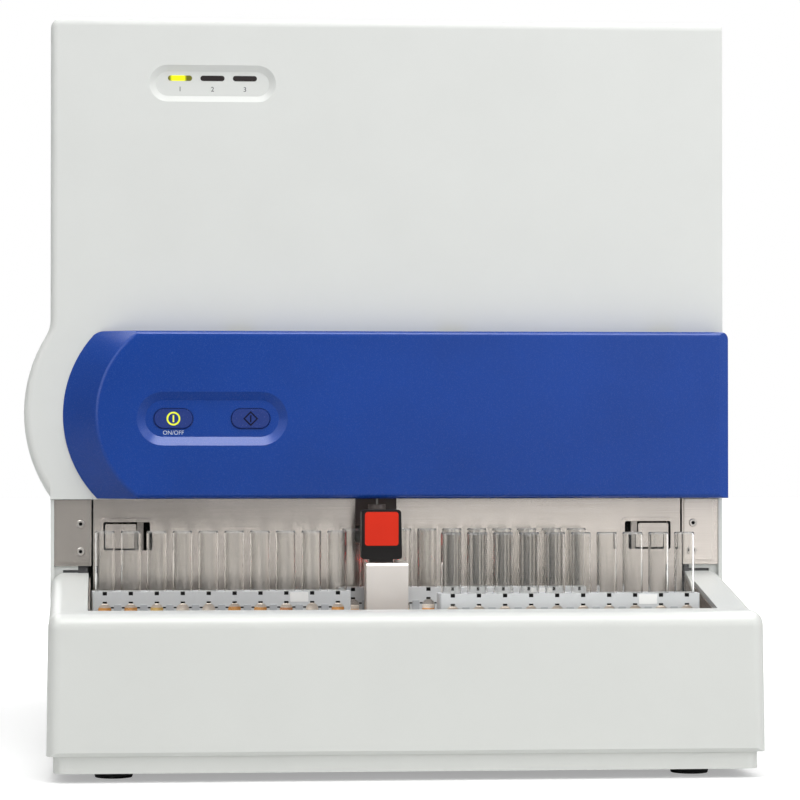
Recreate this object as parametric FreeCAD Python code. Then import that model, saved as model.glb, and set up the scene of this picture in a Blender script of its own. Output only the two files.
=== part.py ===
import FreeCAD, Part
import math
import os
from FreeCAD import Vector

# Benchtop urine analyzer with an open rack tray, a lifting service door and a sampling probe.
# Millimetres. While modelling, X runs right from the middle of the housing, Y runs back from
# the tray's front face and Z runs up from the table. The finished pieces are moved so that
# the origin is the middle of the footprint's box, on the table.

# ---- driving dimensions ----
housing_width = 540.0
housing_depth = 610.0
housing_height = 590.0
cheek_reach = 21.0          # how far the round cheek stands out past the left side
cheek_radius = 117.0
cheek_height = 275.5        # height of the cheek's centre
cheek_blend = 25.0          # hollow curve between the cheek and the side above it

wall = 3.0                  # moulded covers and painted panels
sheet = 2.0                 # structural sheet steel
seam = 0.4                  # gap between neighbouring covers
slide_gap = 0.3             # gap under and beside what slides or lifts out
running_gap = 0.05          # radial gap of a pin or shaft in its hole

foot_height = 10.0
foot_radius = 17.0
foot_taper = 3.0
foot_places = (50.0, 48.0, 40.0)   # in from the sides, the tray's front and the rear face
plinth_bottom = 7.0
plinth_top = 20.0
plinth_inset = 5.0
plinth_corner = 9.0
base_thickness = 3.0

tray_back = 160.0           # where the tray's side walls meet the housing
lip_depth = 35.0            # front lip, from the front face to the edge of the well
lip_height = 126.0
lip_radius = 12.0
crest_middle_depth = 90.0   # the side walls sweep up from the lip to the housing
crest_middle_height = 136.3
crest_height = 148.5
tray_wall_width = 30.3      # width of each side wall
tray_draft = 1.5            # how much each side leans in towards the top
tray_edge_radius = 10.0
tray_chamfer = 3.0
tray_skin = 3.2
tray_flange = 14.0          # foot of the tray's skin, resting on the plinth

liner_thickness = 1.2
liner_floor = 77.0          # top of the steel floor that the racks stand on
liner_rim_drop = 3.0        # the liner's rim lies this far below the tray's crest

cover_front = 158.0         # front plane of the upper cover
cover_back = 238.0
cover_bottom = 207.0
cover_corner = 8.0          # top left corner
cover_edge = 6.0            # rounding of the cover's front edge
lid_height = 30.0           # skirt of the top lid

door_rise = 0.7             # its lower edge, above the cover's
door_thickness = 23.6
door_height = 132.7
door_base_round = (104.7, 94.8)    # sloped round left end where it meets the cover:
door_face_round = (116.6, 80.3)    # centre in from the housing's left side, and radius
notch_clear = 2.0           # in front of the probe's collar
door_end_bevel = 8.0
door_end_bevel_depth = 3.0
door_corner = 6.0
door_edge = 4.0             # rounding of the face's edges
door_swing_radius = 4.0     # rounding of the top rear edge, about the hinge line

hinge_span = (150.0, 50.0)  # first and last hinge, in from the housing's sides
hinge_width = 20.0
hinge_ear = 5.0
hinge_pin_radius = 1.6
hinge_clear = 0.5           # side gap between ear and bracket, and round the bracket

button_offsets = (97.0, 158.0)     # the buttons' centres, in from the housing's left side
button_rise = 63.3          # and up from the door's lower edge
button_size = (30.6, 15.5)
button_gap = 0.5
button_chamfer = 0.6
button_raise = 1.4          # how far a button's face stands off the recess floor
button_flange = 1.4
button_flange_thickness = 1.4
button_travel = 1.2
button_recess = (119.0, 42.4)
button_recess_floor = (105.6, 28.8)
recess_depth = 4.0
boss_thickness = 3.0
board_thickness = 1.6
board_standoff = 6.0
board_peg_radius = 2.5
board_peg_inset = (12.0, 5.0)
board_margin = (4.0, 1.0)
switch_size = 6.0

status_offset = (128.6, 51.7)      # centre, in from the housing's left side and top
status_recess = (101.0, 29.3)
status_recess_floor = (90.6, 19.5)
status_depth = 3.5
status_pitch = 25.9
status_window = (19.3, 4.3)
status_raise = 4.5          # height of the lights above the recess's centre

service_margin = (120.0, 20.0, 12.3, 13.4)   # left, right, below and above, inside the door
service_corner = 10.0
light_flange = (2.0, 1.5)   # how much wider, and how thick, each light's back is
light_plug = (16.0, 6.0, 8.0)

panel_front = 162.0         # face of the steel panel behind the racks
panel_inset = 34.0          # its ends, in from the housing's sides
panel_rise = 17.0           # its top, above the cover's lower edge
probe_slot = (-27.0, 6.0)   # across the width
probe_slot_bottom = 172.0
slot_corner = 3.0
latch_window = (37.2, 22.5)
window_corner = 1.5
latch_window_offset = (60.5, 29.5)     # in from the sides and down from the cover
latch_border = (3.2, 0.5)   # width and height of the raised border round the window
latch_gap = 1.6             # between thumb plate and window, outside, above and below
latch_plate = (24.5, 19.3)
latch_recess = 0.3
latch_bolt = 12.0
latch_rail = (24.0, 26.0, 4.0)     # reach outwards and inwards of the window's middle, height
latch_cover = 3.0           # how far the carrier reaches past the window, above and below

bracket_gap = 1.5           # slit between the steel panel and each bracket
bracket_drop = 53.0         # a bracket's lower edge, below the cover
bracket_plate = (1.5, 6.0, 3.7)    # raised plate: in from the inner, outer and lower edges
screw_drops = (19.6, 41.5)
screw_offset = 24.0         # in from the sides
screw_radius = 3.2
screw_shank = 2.0
screw_head = 1.6
screw_socket = (1.7, 1.1)   # radius over the corners, and depth
sill_gap = 2.2              # slit between the tray's crest and the fold behind it

post_span = (-23.0, 9.8)
post_front = 105.0
post_depth = 20.0
post_top = 158.0
post_bend = 2.4
reader_span = (-25.6, 5.2)
reader_taper = 0.8
reader_front = 115.0
reader_depth = 16.0
reader_heights = (160.6, 199.3)
reader_corner = 2.5
reader_stem = 18.0
reader_glass = (22.0, 6.0, 16.0, 2.0)  # width, sill, height and depth of the rear window
glass_inset = 0.5
label_size = 26.4
label_height = 184.5
label_thickness = 0.6
label_corner = 2.2

rack_length = 200.0
rack_depth = 22.0
rack_height = 60.0
rack_positions = 10
tube_pitch = 20.0
tube_radius = 7.8
tube_wall = 1.1
tube_length = 100.0
tube_hole_gap = 0.5
rack_floor = 6.0            # thickness below the tubes
rack_window = (10.0, 10.0, 51.0)   # width, sill and head of the arch, above the foot
rack_sight = (3.4, 1.4)     # small square opening on top of each arch
rack_notch = (3.4, 2.8)
rack_chamfer = 1.2
left_rack = (33.2, 88.0)    # left end in from the housing's side, and front
right_rack = (43.0, 40.0)   # right end in from the housing's side, and front
rear_rack = (-41.0, 136.0)  # left end and front
sampling_position = 1       # tube under the probe, counted from 0

frame_tube = 20.0
frame_inset = 10.0          # the frame's outside, in from the housing's sides
shelf_rise = 5.0            # the shelf's underside, above the cover's lower edge
riser_offset = 120.0        # the two plates that carry the tray's steel floor, from the sides
riser_thickness = 10.0
riser_front = 60.0
carrier_depth = 14.0        # bars behind the steel panel
panel_hem = 11.0            # how far the panel overlaps the upper bar
fold_width = 12.0           # inward fold along each side panel's lower front edge
rear_inset = 10.0           # the rear panel lies inside the housing's back edge
side_vents = (60.0, 120.0, 8)      # in from the back, length and number of slots
side_vent_height = 60.0
rear_vents = (70.0, 160.0, 12)     # in from the right side, length and number of slots
rear_vent_height = 250.0

probe_tip = 190.0
probe_point = 4.0           # length of the ground tip
probe_fitting = 6.0
probe_arm = (313.0, 323.0)
probe_radius = 1.0
probe_collar = 5.0
column = (198.0, 14.0, 26.0)       # front, depth and width of the probe's guide column
column_rise = 30.0          # above the arm
column_groove = (8.0, 4.0, 12.0)   # width, web in front of it and distance from the ends
column_foot = (16.0, 4.0)   # how far the foot reaches back, and its thickness
arm_width = 8.0
bridge_depth = 3.0
well_body = (7.0, 3.0, 12.0)       # outer and inner radius and height of the rinsing collar
well_margin = 3.0
well_plate_margin = 6.0
carriage_depth = 12.0
carriage_overhang = (3.0, 8.0)     # how far the carriage reaches below and above the arm
jaw_width = 4.0
jaw_reach = 6.0             # how far the jaws reach back along the column's sides

fan_offset = (110.0, 110.0)        # centre, in from the housing's left side and top
fan_size = 80.0
fan_depth = 25.0
fan_rim = 3.0
fan_corner = 5.0
fan_blades = 7
fan_hub = 17.0
fan_tip_gap = 1.5
fan_motor = 6.0
fan_strut = 4.0
fan_axle = 2.0
fan_turning_depth = 14.0
blade_thickness = 1.5
blade_heights = (5.0, 6.0)  # lower and upper edge of a blade, from the axle's height
guard_slots = 4             # slots above and below the middle one
guard_margin = 4.0
vent_slot = 4.0
vent_pitch = 9.0
guard_pitch = 8.5

entry_offset = (100.0, 95.0)       # centre, in from the right side and up from the table
entry_flange = (34.0, 62.0)
entry_body = (29.0, 54.0)
entry_lip = 2.0
entry_depth = 24.0
socket_size = (24.4, 16.6)
socket_drop = 12.7          # the socket's middle, below the inlet's
socket_depth = 16.0
contact_size = (2.0, 10.0, 4.0)
contact_places = ((-7.0, -1.5), (7.0, -1.5), (0.0, 2.5))
rocker_size = (19.0, 13.0)
rocker_rise = 14.0          # the rocker's middle, above the inlet's
rocker_well = 12.0
rocker_gap = 1.0
rocker_depth = 5.0          # pivot below the mouth
rocker_dish = 1.8
rocker_skirt = (3.0, 4.0)   # how far it reaches behind the pivot, and half its height there
rocker_tilt = 12.0          # stored pressed in at the bottom, the off side
rocker_pivot = 1.5
pivot_length = 2.0
pivot_grip = 0.5

port_offset = 70.0          # first hose port, in from the left side
port_pitch = 28.0
port_count = 3
port_height = 85.0
port_radius = 4.5
port_reach = (12.0, 8.0)    # inside and outside the rear panel

pump_offset = 80.0          # in from the right side
pump_rise = 48.0            # axis above the shelf
pump_front = 232.0
pump_radius = 27.0
pump_wall = 4.0
pump_depth = 30.0
motor_inset = 6.0
shaft_radius = 3.0
rotor_radius = 17.0
rotor_hub = 8.0
rotor_arm = (2.0, 6.0)
roller_radius = 4.0

axis_place = (174.0, 48.0)  # microscope's axis behind the cover's face, and above the shelf
bench_start = 20.0          # left end of the optics, from the housing's middle
bench_length = 216.0
bench_width = 64.0
bench_thickness = 10.0
bench_posts = (18.0, 108.0, 174.0) # along the bench
bench_post = (16.0, 36.0)
lamp_radius = 14.0
lamp_span = (4.0, 40.0)     # start along the bench, and length
lamp_nose = (5.0, 12.0)     # how much thinner, and how long
cell_place = 74.0
cell_holder = (8.0, 30.0, 24.0)
cell_glass = (2.0, 18.0)
cell_bore = 8.0
lens_radius = 11.0
lens_span = (82.0, 10.0, 50.0)     # start along the bench, cone and barrel
camera_start = 142.0
camera_half = 24.0
camera_end = 10.0

supply_size = (160.0, 160.0, 70.0)
supply_place = (50.0, 40.0) # in from the right side and from the rear face
supply_slots = (12.0, 120.0, 4.0, 6)   # height of the first, length, depth and number
mains_board = (170.0, 170.0)
mains_board_place = (40.0, 40.0)   # in from the left side and from the rear face
board_spacer = (3.0, 8.0)   # radius and height of the board's four spacers
spacer_inset = 6.0
board_parts = (             # from the board's left front corner: place, size and height
    (30.0, 40.0, 34.0, 34.0, 4.0),
    (90.0, 40.0, 26.0, 26.0, 3.0),
    (20.0, 110.0, 40.0, 14.0, 8.0),
    (80.0, 110.0, 60.0, 8.0, 11.0),
    (130.0, 20.0, 20.0, 40.0, 14.0),
)

# ---- what follows from them ----
half_width = housing_width / 2
left_side = -half_width
cheek_centre = Vector(cheek_radius - cheek_reach - half_width, 0, cheek_height)
rear_face = housing_depth - rear_inset
well_half_width = half_width - tray_wall_width
base_bottom = foot_height
base_top = base_bottom + base_thickness
plinth_half_width = half_width - plinth_inset
liner_half_width = well_half_width - seam
liner_front = lip_depth + seam
liner_under = liner_floor - liner_thickness
rack_foot = liner_floor + slide_gap
tube_foot = rack_foot + rack_floor + slide_gap
panel_back = panel_front + sheet
panel_half_width = half_width - panel_inset
panel_top = cover_bottom + panel_rise
latch_window_centre = (half_width - latch_window_offset[0], cover_bottom - latch_window_offset[1])
bracket_inner = panel_half_width + bracket_gap
bracket_bottom = cover_bottom - bracket_drop
screw_x = half_width - screw_offset
screw_places = [cover_bottom - drop for drop in screw_drops]
flange_back = panel_back + sheet
frame_front = flange_back
frame_reach = half_width - frame_inset
riser_inside = half_width - riser_offset
shelf_height = cover_bottom + shelf_rise
shelf_top = shelf_height + sheet
lid_bottom = housing_height - lid_height
door_back = cover_front - seam
door_front = door_back - door_thickness
door_bottom = cover_bottom + door_rise
door_top = door_bottom + door_height
door_middle = (door_bottom + door_top) / 2
hinge_depth = cover_front - door_swing_radius - slide_gap
hinge_height = door_top - door_swing_radius
hinge_first = left_side + hinge_span[0]
hinge_last = half_width - hinge_span[1]
hinge_places = (hinge_first, (hinge_first + hinge_last) / 2, hinge_last)
button_places = [left_side + offset for offset in button_offsets]
button_height = door_bottom + button_rise
button_recess_centre = (sum(button_places) / 2, button_height)
button_floor = door_front + recess_depth
boss_back = button_floor + boss_thickness
board_front = boss_back + board_standoff
status_centre = (left_side + status_offset[0], housing_height - status_offset[1])
status_floor = cover_front + status_depth
service_sides = (left_side + service_margin[0], half_width - service_margin[1])
service_heights = (door_bottom + service_margin[2], door_top - service_margin[3])
rear_posts = rear_face - wall
fan_centre = (left_side + fan_offset[0], housing_height - fan_offset[1])
entry_centre = (half_width - entry_offset[0], entry_offset[1])
entry_mouth = rear_face + entry_lip
rocker_centre = Vector(entry_centre[0], entry_mouth - rocker_depth, entry_centre[1] + rocker_rise)
port_places = [left_side + port_offset + i * port_pitch for i in range(port_count)]
pump_centre = (half_width - pump_offset, shelf_top + pump_rise)
optical_axis = (cover_front + axis_place[0], shelf_top + axis_place[1])
bench_top = shelf_top + bench_thickness
tube_step = [(i + 0.5) * tube_pitch for i in range(rack_positions)]
left_rack_corner = (left_side + left_rack[0], left_rack[1])
right_rack_corner = (half_width - right_rack[0] - rack_length, right_rack[1])
probe_place = Vector(
    rear_rack[0] + tube_step[sampling_position], rear_rack[1] + rack_depth / 2, probe_tip
)
ACROSS = Vector(1, 0, 0)
BACK = Vector(0, 1, 0)
FRONT = Vector(0, -1, 0)
UP = Vector(0, 0, 1)


# ---- building blocks ----
def box(x, y, z):
    """Block between a low and a high value along each axis."""
    return Part.makeBox(x[1] - x[0], y[1] - y[0], z[1] - z[0], Vector(x[0], y[0], z[0]))


def rod(radius, length, start, direction):
    return Part.makeCylinder(radius, length, start, direction)


def ring(outer, inner, length, start, direction):
    return rod(outer, length, start, direction).cut(rod(inner, length, start, direction))


def joined(shapes):
    return shapes[0].multiFuse(shapes[1:]).removeSplitter()


def outline(points):
    """Closed face through the points, in order."""
    return Part.Face(Part.makePolygon(points + points[:1]))


def mirrored(shape):
    return shape.mirror(Vector(0, 0, 0), ACROSS)


def obround(centre, size, depth):
    """Closed wire with round ends, standing upright at the given depth."""
    radius = size[1] / 2
    reach = size[0] / 2 - radius
    x, z = centre
    low = z - radius
    high = z + radius
    edges = [
        Part.makeLine(Vector(x - reach, depth, low), Vector(x + reach, depth, low)),
        Part.Arc(
            Vector(x + reach, depth, low),
            Vector(x + reach + radius, depth, z),
            Vector(x + reach, depth, high),
        ).toShape(),
        Part.makeLine(Vector(x + reach, depth, high), Vector(x - reach, depth, high)),
        Part.Arc(
            Vector(x - reach, depth, high),
            Vector(x - reach - radius, depth, z),
            Vector(x - reach, depth, low),
        ).toShape(),
    ]
    return Part.Wire(edges)


def obround_block(centre, size, front, back):
    return Part.Face(obround(centre, size, front)).extrude(BACK * (back - front))


def recess(centre, mouth, floor, front, depth):
    """Pocket with round ends and sloped walls."""
    return Part.makeLoft([obround(centre, mouth, front), obround(centre, floor, front + depth)], True)


def rounded_block(x, y, z, radius, direction):
    """Block whose edges along one direction are rounded."""
    block = box(x, y, z)
    return round_edges(block, radius, lambda edge: runs_along(edge, direction))


def runs_along(edge, direction):
    if edge.Curve.TypeId != "Part::GeomLine":
        return False
    return abs(edge.Curve.Direction.dot(direction)) > 0.999


def round_edges(shape, radius, chosen):
    return shape.makeFillet(radius, [edge for edge in shape.Edges if chosen(edge)])


def near(value, target):
    return abs(value - target) < 0.01


# ---- housing ----
def cheek_outline():
    """Front outline of the upper cover: a slab with a round cheek low on its left side."""
    side = -half_width
    low = cheek_centre.z - math.sqrt(cheek_radius**2 - (side - cheek_centre.x) ** 2)
    blend_x = side - cheek_blend
    reach = cheek_radius + cheek_blend
    blend_z = cheek_centre.z + math.sqrt(reach**2 - (blend_x - cheek_centre.x) ** 2)
    blend_centre = Vector(blend_x, 0, blend_z)
    towards = (blend_centre - cheek_centre).normalize()
    touch = cheek_centre + towards * cheek_radius
    half_turn = (ACROSS - towards).normalize()
    blend_middle = blend_centre + half_turn * cheek_blend
    far_left = cheek_centre - ACROSS * cheek_radius
    corner = Vector(side + cover_corner, 0, housing_height - cover_corner)
    diagonal = Vector(-1, 0, 1).normalize() * cover_corner
    points = {
        "low_left": Vector(side, 0, cover_bottom),
        "cheek_low": Vector(side, 0, low),
        "blend_top": Vector(side, 0, blend_z),
        "corner_low": Vector(side, 0, corner.z),
        "corner_high": Vector(corner.x, 0, housing_height),
        "top_right": Vector(half_width, 0, housing_height),
        "low_right": Vector(half_width, 0, cover_bottom),
    }
    edges = [
        Part.makeLine(points["low_left"], points["cheek_low"]),
        Part.Arc(points["cheek_low"], far_left, touch).toShape(),
        Part.Arc(touch, blend_middle, points["blend_top"]).toShape(),
        Part.makeLine(points["blend_top"], points["corner_low"]),
        Part.Arc(points["corner_low"], corner + diagonal, points["corner_high"]).toShape(),
        Part.makeLine(points["corner_high"], points["top_right"]),
        Part.makeLine(points["top_right"], points["low_right"]),
        Part.makeLine(points["low_right"], points["low_left"]),
    ]
    return Part.Wire(edges)


def front_cover():
    outer_wire = cheek_outline()
    outer = Part.Face(outer_wire).extrude(BACK * (cover_back - cover_front))
    outer.translate(BACK * cover_front)

    def rounded_front(edge):
        box_of = edge.BoundBox
        at_front = near(box_of.YMin, cover_front) and near(box_of.YMax, cover_front)
        on_right = near(box_of.XMin, half_width)
        at_bottom = box_of.ZMin < cover_bottom + cover_edge and box_of.ZMax < cheek_height - cheek_radius / 2
        return at_front and not on_right and not at_bottom

    outer = round_edges(outer, cover_edge, rounded_front)
    inner = Part.Face(outer_wire).makeOffset2D(-wall).extrude(BACK * (cover_back - cover_front))
    inner.translate(BACK * (cover_front + wall))
    shell = outer.cut(inner)
    inside = half_width - 2 * wall
    shell = shell.cut(
        box((-inside, inside), (cover_front + wall, cover_back + 1), (cover_bottom - 1, cover_bottom + 2 * wall))
    )
    through = (cover_front - 1, cover_front + wall + 1)
    opening = rounded_block(service_sides, through, service_heights, service_corner, BACK)
    slot = box(probe_slot, through, (cover_bottom - 1, service_heights[0] + service_corner))
    shell = shell.cut(opening.fuse(slot))
    beside = box((-housing_width, -half_width), (cover_back - wall, cover_back), (cover_bottom, housing_height))
    cheek_back = Part.Face(outer_wire).extrude(BACK * cover_back).common(beside)
    shell = shell.fuse(cheek_back)
    boss = obround_block(status_centre, status_recess, cover_front + wall, status_floor + wall)
    shell = shell.fuse(boss)
    shell = shell.cut(
        recess(status_centre, status_recess, status_recess_floor, cover_front, status_depth)
    )
    for place in status_places():
        shell = shell.cut(
            obround_block(place, status_window, status_floor - 1, status_floor + wall + 1)
        )
    return shell.removeSplitter()


def status_places():
    x, z = status_centre
    return [(x + step * status_pitch, z + status_raise) for step in (-1, 0, 1)]


def status_lights():
    """Three light guides, each with a wider back that keeps it in the cover."""
    lights = []
    back = status_floor + wall
    width, height = status_window
    wider, thickness = light_flange
    for place in status_places():
        guide = obround_block(place, (width - running_gap * 2, height - running_gap * 2), status_floor, back)
        flange = obround_block(place, (width + wider, height + wider), back, back + thickness)
        lights.append(guide.fuse(flange))
    return Part.Compound(lights)


def status_board():
    x, z = status_centre
    front = status_floor + wall + light_flange[1]
    back = front + board_thickness
    board = box(
        (x - status_recess[0] / 2, x + status_recess[0] / 2),
        (front, back),
        (z - status_recess[1] / 2, z + status_recess[1] / 2),
    )
    width, depth, height = light_plug
    plug = box((x - width / 2, x + width / 2), (back, back + depth), (z - height, z))
    return board.fuse(plug)


def side_panel():
    """Left side panel, folded in along its lower front edge. The right one is its mirror."""
    left = left_side
    low = plinth_top
    lower_top = cover_bottom - seam
    upper_front = cover_back + seam
    skin = outline(
        [
            Vector(left, tray_back + seam, low),
            Vector(left, housing_depth, low),
            Vector(left, housing_depth, lid_bottom - seam),
            Vector(left, upper_front, lid_bottom - seam),
            Vector(left, upper_front, lower_top),
            Vector(left, tray_back + seam, lower_top),
        ]
    ).extrude(ACROSS * wall)
    fold_end = fold_width - frame_reach
    fold = box((left + wall, fold_end), (panel_back, flange_back), (low, lower_top))
    slit = box(
        (-frame_reach, fold_end + 1), (panel_back - 1, flange_back + 1), (crest_height, crest_height + sill_gap)
    )
    ledge = box((left + wall, left + wall + 2 * sheet), (flange_back, rear_posts), (low, low + sheet))
    panel = joined([skin, fold.cut(slit), ledge])
    from_back, length, count = side_vents
    along = (housing_depth - from_back - length, housing_depth - from_back)
    slots = [
        box((left - 1, left + wall + 1), along, (z, z + vent_slot))
        for z in [side_vent_height + i * vent_pitch for i in range(count)]
    ]
    return panel.cut(Part.Compound(slots))


def top_cover():
    """Lid with the same corners as the front cover, resting on the frame."""
    profile = rounded_top_section(0.0, lid_bottom)
    inner = rounded_top_section(wall, lid_bottom - 1)
    length = BACK * (housing_depth - cover_back - seam)
    lid = profile.extrude(length).cut(inner.extrude(length))
    lid.translate(BACK * (cover_back + seam))
    return lid


def rounded_top_section(inset, low):
    left = -half_width + inset
    right = half_width - inset
    top = housing_height - inset
    radius = cover_corner - inset
    diagonal = Vector(-1, 0, 1).normalize() * radius
    centre = Vector(left + radius, 0, top - radius)
    edges = [
        Part.makeLine(Vector(left, 0, low), Vector(left, 0, centre.z)),
        Part.Arc(Vector(left, 0, centre.z), centre + diagonal, Vector(centre.x, 0, top)).toShape(),
        Part.makeLine(Vector(centre.x, 0, top), Vector(right, 0, top)),
        Part.makeLine(Vector(right, 0, top), Vector(right, 0, low)),
        Part.makeLine(Vector(right, 0, low), Vector(left, 0, low)),
    ]
    return Part.Face(Part.Wire(edges))


def rear_panel():
    inside = half_width - wall
    plate = rounded_block(
        (-inside, inside),
        (rear_posts, rear_face),
        (plinth_top, housing_height - wall),
        cover_corner - wall + seam,
        BACK,
    )
    through = (rear_posts - 1, rear_face + 1)
    x, z = fan_centre
    reach = fan_size / 2 - guard_margin
    cuts = []
    for step in range(-guard_slots, guard_slots + 1):
        height = step * guard_pitch
        half = math.sqrt(reach**2 - height**2)
        middle = z + height
        cuts.append(box((x - half, x + half), through, (middle - vent_slot / 2, middle + vent_slot / 2)))
    ex, ez = entry_centre
    body_x, body_z = entry_body
    cuts.append(box((ex - body_x / 2, ex + body_x / 2), through, (ez - body_z / 2, ez + body_z / 2)))
    for port in port_places:
        cuts.append(
            rod(port_radius, wall + 2, Vector(port, rear_posts - 1, port_height), BACK)
        )
    from_side, length, count = rear_vents
    along = (half_width - from_side - length, half_width - from_side)
    for i in range(count):
        low = rear_vent_height + i * vent_pitch
        cuts.append(box(along, through, (low, low + vent_slot)))
    return plate.cut(Part.Compound(cuts))


def chassis_frame():
    """Welded frame of square tube: base rails, four posts, top rails and the panel's carriers."""
    outer = frame_reach
    inner = frame_reach - frame_tube
    back = rear_posts - frame_tube
    under_lid = housing_height - wall
    members = []
    for side in (-1, 1):
        span = sorted((side * inner, side * outer))
        members.append(box(span, (frame_front, rear_posts), (base_top, base_top + frame_tube)))
        members.append(box(span, (frame_front, frame_front + frame_tube), (base_top, under_lid)))
        members.append(box(span, (back, rear_posts), (base_top, under_lid)))
        members.append(box(span, (frame_front, rear_posts), (under_lid - frame_tube, under_lid)))
        members.append(box(span, (frame_front, rear_posts), (shelf_height - frame_tube, shelf_height)))
        riser = sorted((side * riser_inside, side * (riser_inside + riser_thickness)))
        members.append(box(riser, (riser_front, flange_back), (base_top, liner_under)))
    width = (-outer, outer)
    sill = riser_inside + riser_thickness
    members.append(
        box((-sill, sill), (riser_front, riser_front + frame_tube), (base_top, base_top + frame_tube))
    )
    members.append(box(width, (back, rear_posts), (base_top, base_top + frame_tube)))
    members.append(box(width, (frame_front, frame_front + frame_tube), (under_lid - frame_tube, under_lid)))
    members.append(box(width, (back, rear_posts), (under_lid - frame_tube, under_lid)))
    carrier = (panel_back, panel_back + carrier_depth)
    members.append(box(width, carrier, (panel_top - panel_hem, panel_top)))
    members.append(box(width, carrier, (base_top, liner_under - panel_hem)))
    frame = joined(members)
    cuts = [box(probe_slot, (panel_back - 1, panel_back + carrier_depth + 1), (shelf_top, panel_top + 1))]
    for side in (-1, 1):
        fold = sorted((side * (outer - fold_width), side * (outer + 1)))
        cuts.append(box(fold, (panel_back - 1, flange_back), (0, housing_height)))
    return frame.cut(Part.Compound(cuts))


def equipment_shelf():
    reach = frame_reach - frame_tube / 2
    plate = box(
        (-reach, reach),
        (frame_front + frame_tube, rear_posts - frame_tube),
        (shelf_height, shelf_top),
    )
    return plate


def base_plate():
    reach = plinth_half_width - wall
    return rounded_block(
        (-reach, reach), (plinth_inset + wall, rear_face), (base_bottom, base_top), plinth_corner - wall, UP
    )


def plinth():
    """Skirt round the base plate."""
    front = plinth_inset
    back = rear_face + wall
    outer = rounded_block(
        (-plinth_half_width, plinth_half_width), (front, back), (plinth_bottom, plinth_top), plinth_corner, UP
    )
    inner = rounded_block(
        (wall - plinth_half_width, plinth_half_width - wall),
        (front + wall, back - wall),
        (plinth_bottom - 1, plinth_top + 1),
        plinth_corner - wall,
        UP,
    )
    return outer.cut(inner)


def feet():
    from_side, from_front, from_back = foot_places
    pads = []
    for x in (left_side + from_side, half_width - from_side):
        for y in (from_front, rear_face - from_back):
            pads.append(
                Part.makeCone(foot_radius - foot_taper, foot_radius, foot_height, Vector(x, y, 0), UP)
            )
    return Part.Compound(pads)


# ---- tray ----
def tray_profile(inset, bottom):
    """Side view of the tray: upright front, round lip and the sweep of the side walls."""
    front = inset
    lip = lip_height - inset
    radius = lip_radius - inset
    back = tray_back - inset
    chamfer = max(tray_chamfer - inset, 0.1)
    turn = radius * (1 - math.sqrt(0.5))
    crest = [
        Vector(0, lip_depth, lip),
        Vector(0, crest_middle_depth, crest_middle_height - inset),
        Vector(0, back, crest_height - inset),
    ]
    edges = [
        Part.makeLine(Vector(0, front + chamfer, bottom), Vector(0, front, bottom + chamfer)),
        Part.makeLine(Vector(0, front, bottom + chamfer), Vector(0, front, lip - radius)),
        Part.Arc(
            Vector(0, front, lip - radius),
            Vector(0, front + turn, lip - turn),
            Vector(0, front + radius, lip),
        ).toShape(),
        Part.makeLine(Vector(0, front + radius, lip), crest[0]),
        Part.Arc(crest[0], crest[1], crest[2]).toShape(),
        Part.makeLine(crest[2], Vector(0, back, bottom)),
        Part.makeLine(Vector(0, back, bottom), Vector(0, front + chamfer, bottom)),
    ]
    return Part.Face(Part.Wire(edges))


def tray_form(inset, bottom):
    """The tray as a full block: its side view swept across, between leaning sides."""
    low = half_width - inset
    high = half_width - tray_draft - inset
    block = tray_profile(inset, bottom).extrude(ACROSS * housing_width)
    block.translate(ACROSS * -half_width)
    sides = outline(
        [
            Vector(-low, 0, bottom),
            Vector(-high, 0, crest_height + 1),
            Vector(high, 0, crest_height + 1),
            Vector(low, 0, bottom),
        ]
    ).extrude(BACK * tray_back)
    return block.common(sides)


def tray_edges(inset):
    """Chooses the edges between the tray's top or front and its leaning sides."""
    outside = half_width - inset - tray_draft * 2
    foot = plinth_top + inset + tray_chamfer + 0.01

    def chosen(edge):
        bounds = edge.BoundBox
        beyond = min(abs(bounds.XMin), abs(bounds.XMax)) > outside
        one_side = bounds.XMin * bounds.XMax > 0
        at_back = bounds.YMin > tray_back - inset - 1
        return beyond and one_side and not at_back and not bounds.ZMax < foot

    return chosen


def tray_cover():
    form = round_edges(tray_form(0.0, plinth_top), tray_edge_radius, tray_edges(0.0))
    core = tray_form(tray_skin, plinth_top + tray_skin)
    core = round_edges(core, tray_edge_radius - tray_skin, tray_edges(tray_skin))
    around_well = box(
        (-well_half_width - tray_skin, well_half_width + tray_skin),
        (lip_depth - tray_skin, tray_back + 1),
        (0, crest_height + 2),
    )
    well = box((-well_half_width, well_half_width), (lip_depth, tray_back + 1), (0, crest_height + 2))
    mouth_x = half_width - tray_flange
    mouths = [
        box((-mouth_x, mouth_x), (tray_flange, lip_depth - tray_skin), (0, plinth_top + 2 * tray_skin)),
    ]
    for side in (-1, 1):
        ends = sorted((side * (well_half_width + tray_skin), side * mouth_x))
        mouths.append(box(ends, (tray_flange, tray_back - 2 * tray_skin), (0, plinth_top + 2 * tray_skin)))
    shell = form.cut(core.cut(around_well))
    shell = shell.cut(well).cut(Part.Compound(mouths))
    return shell.removeSplitter()


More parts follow.
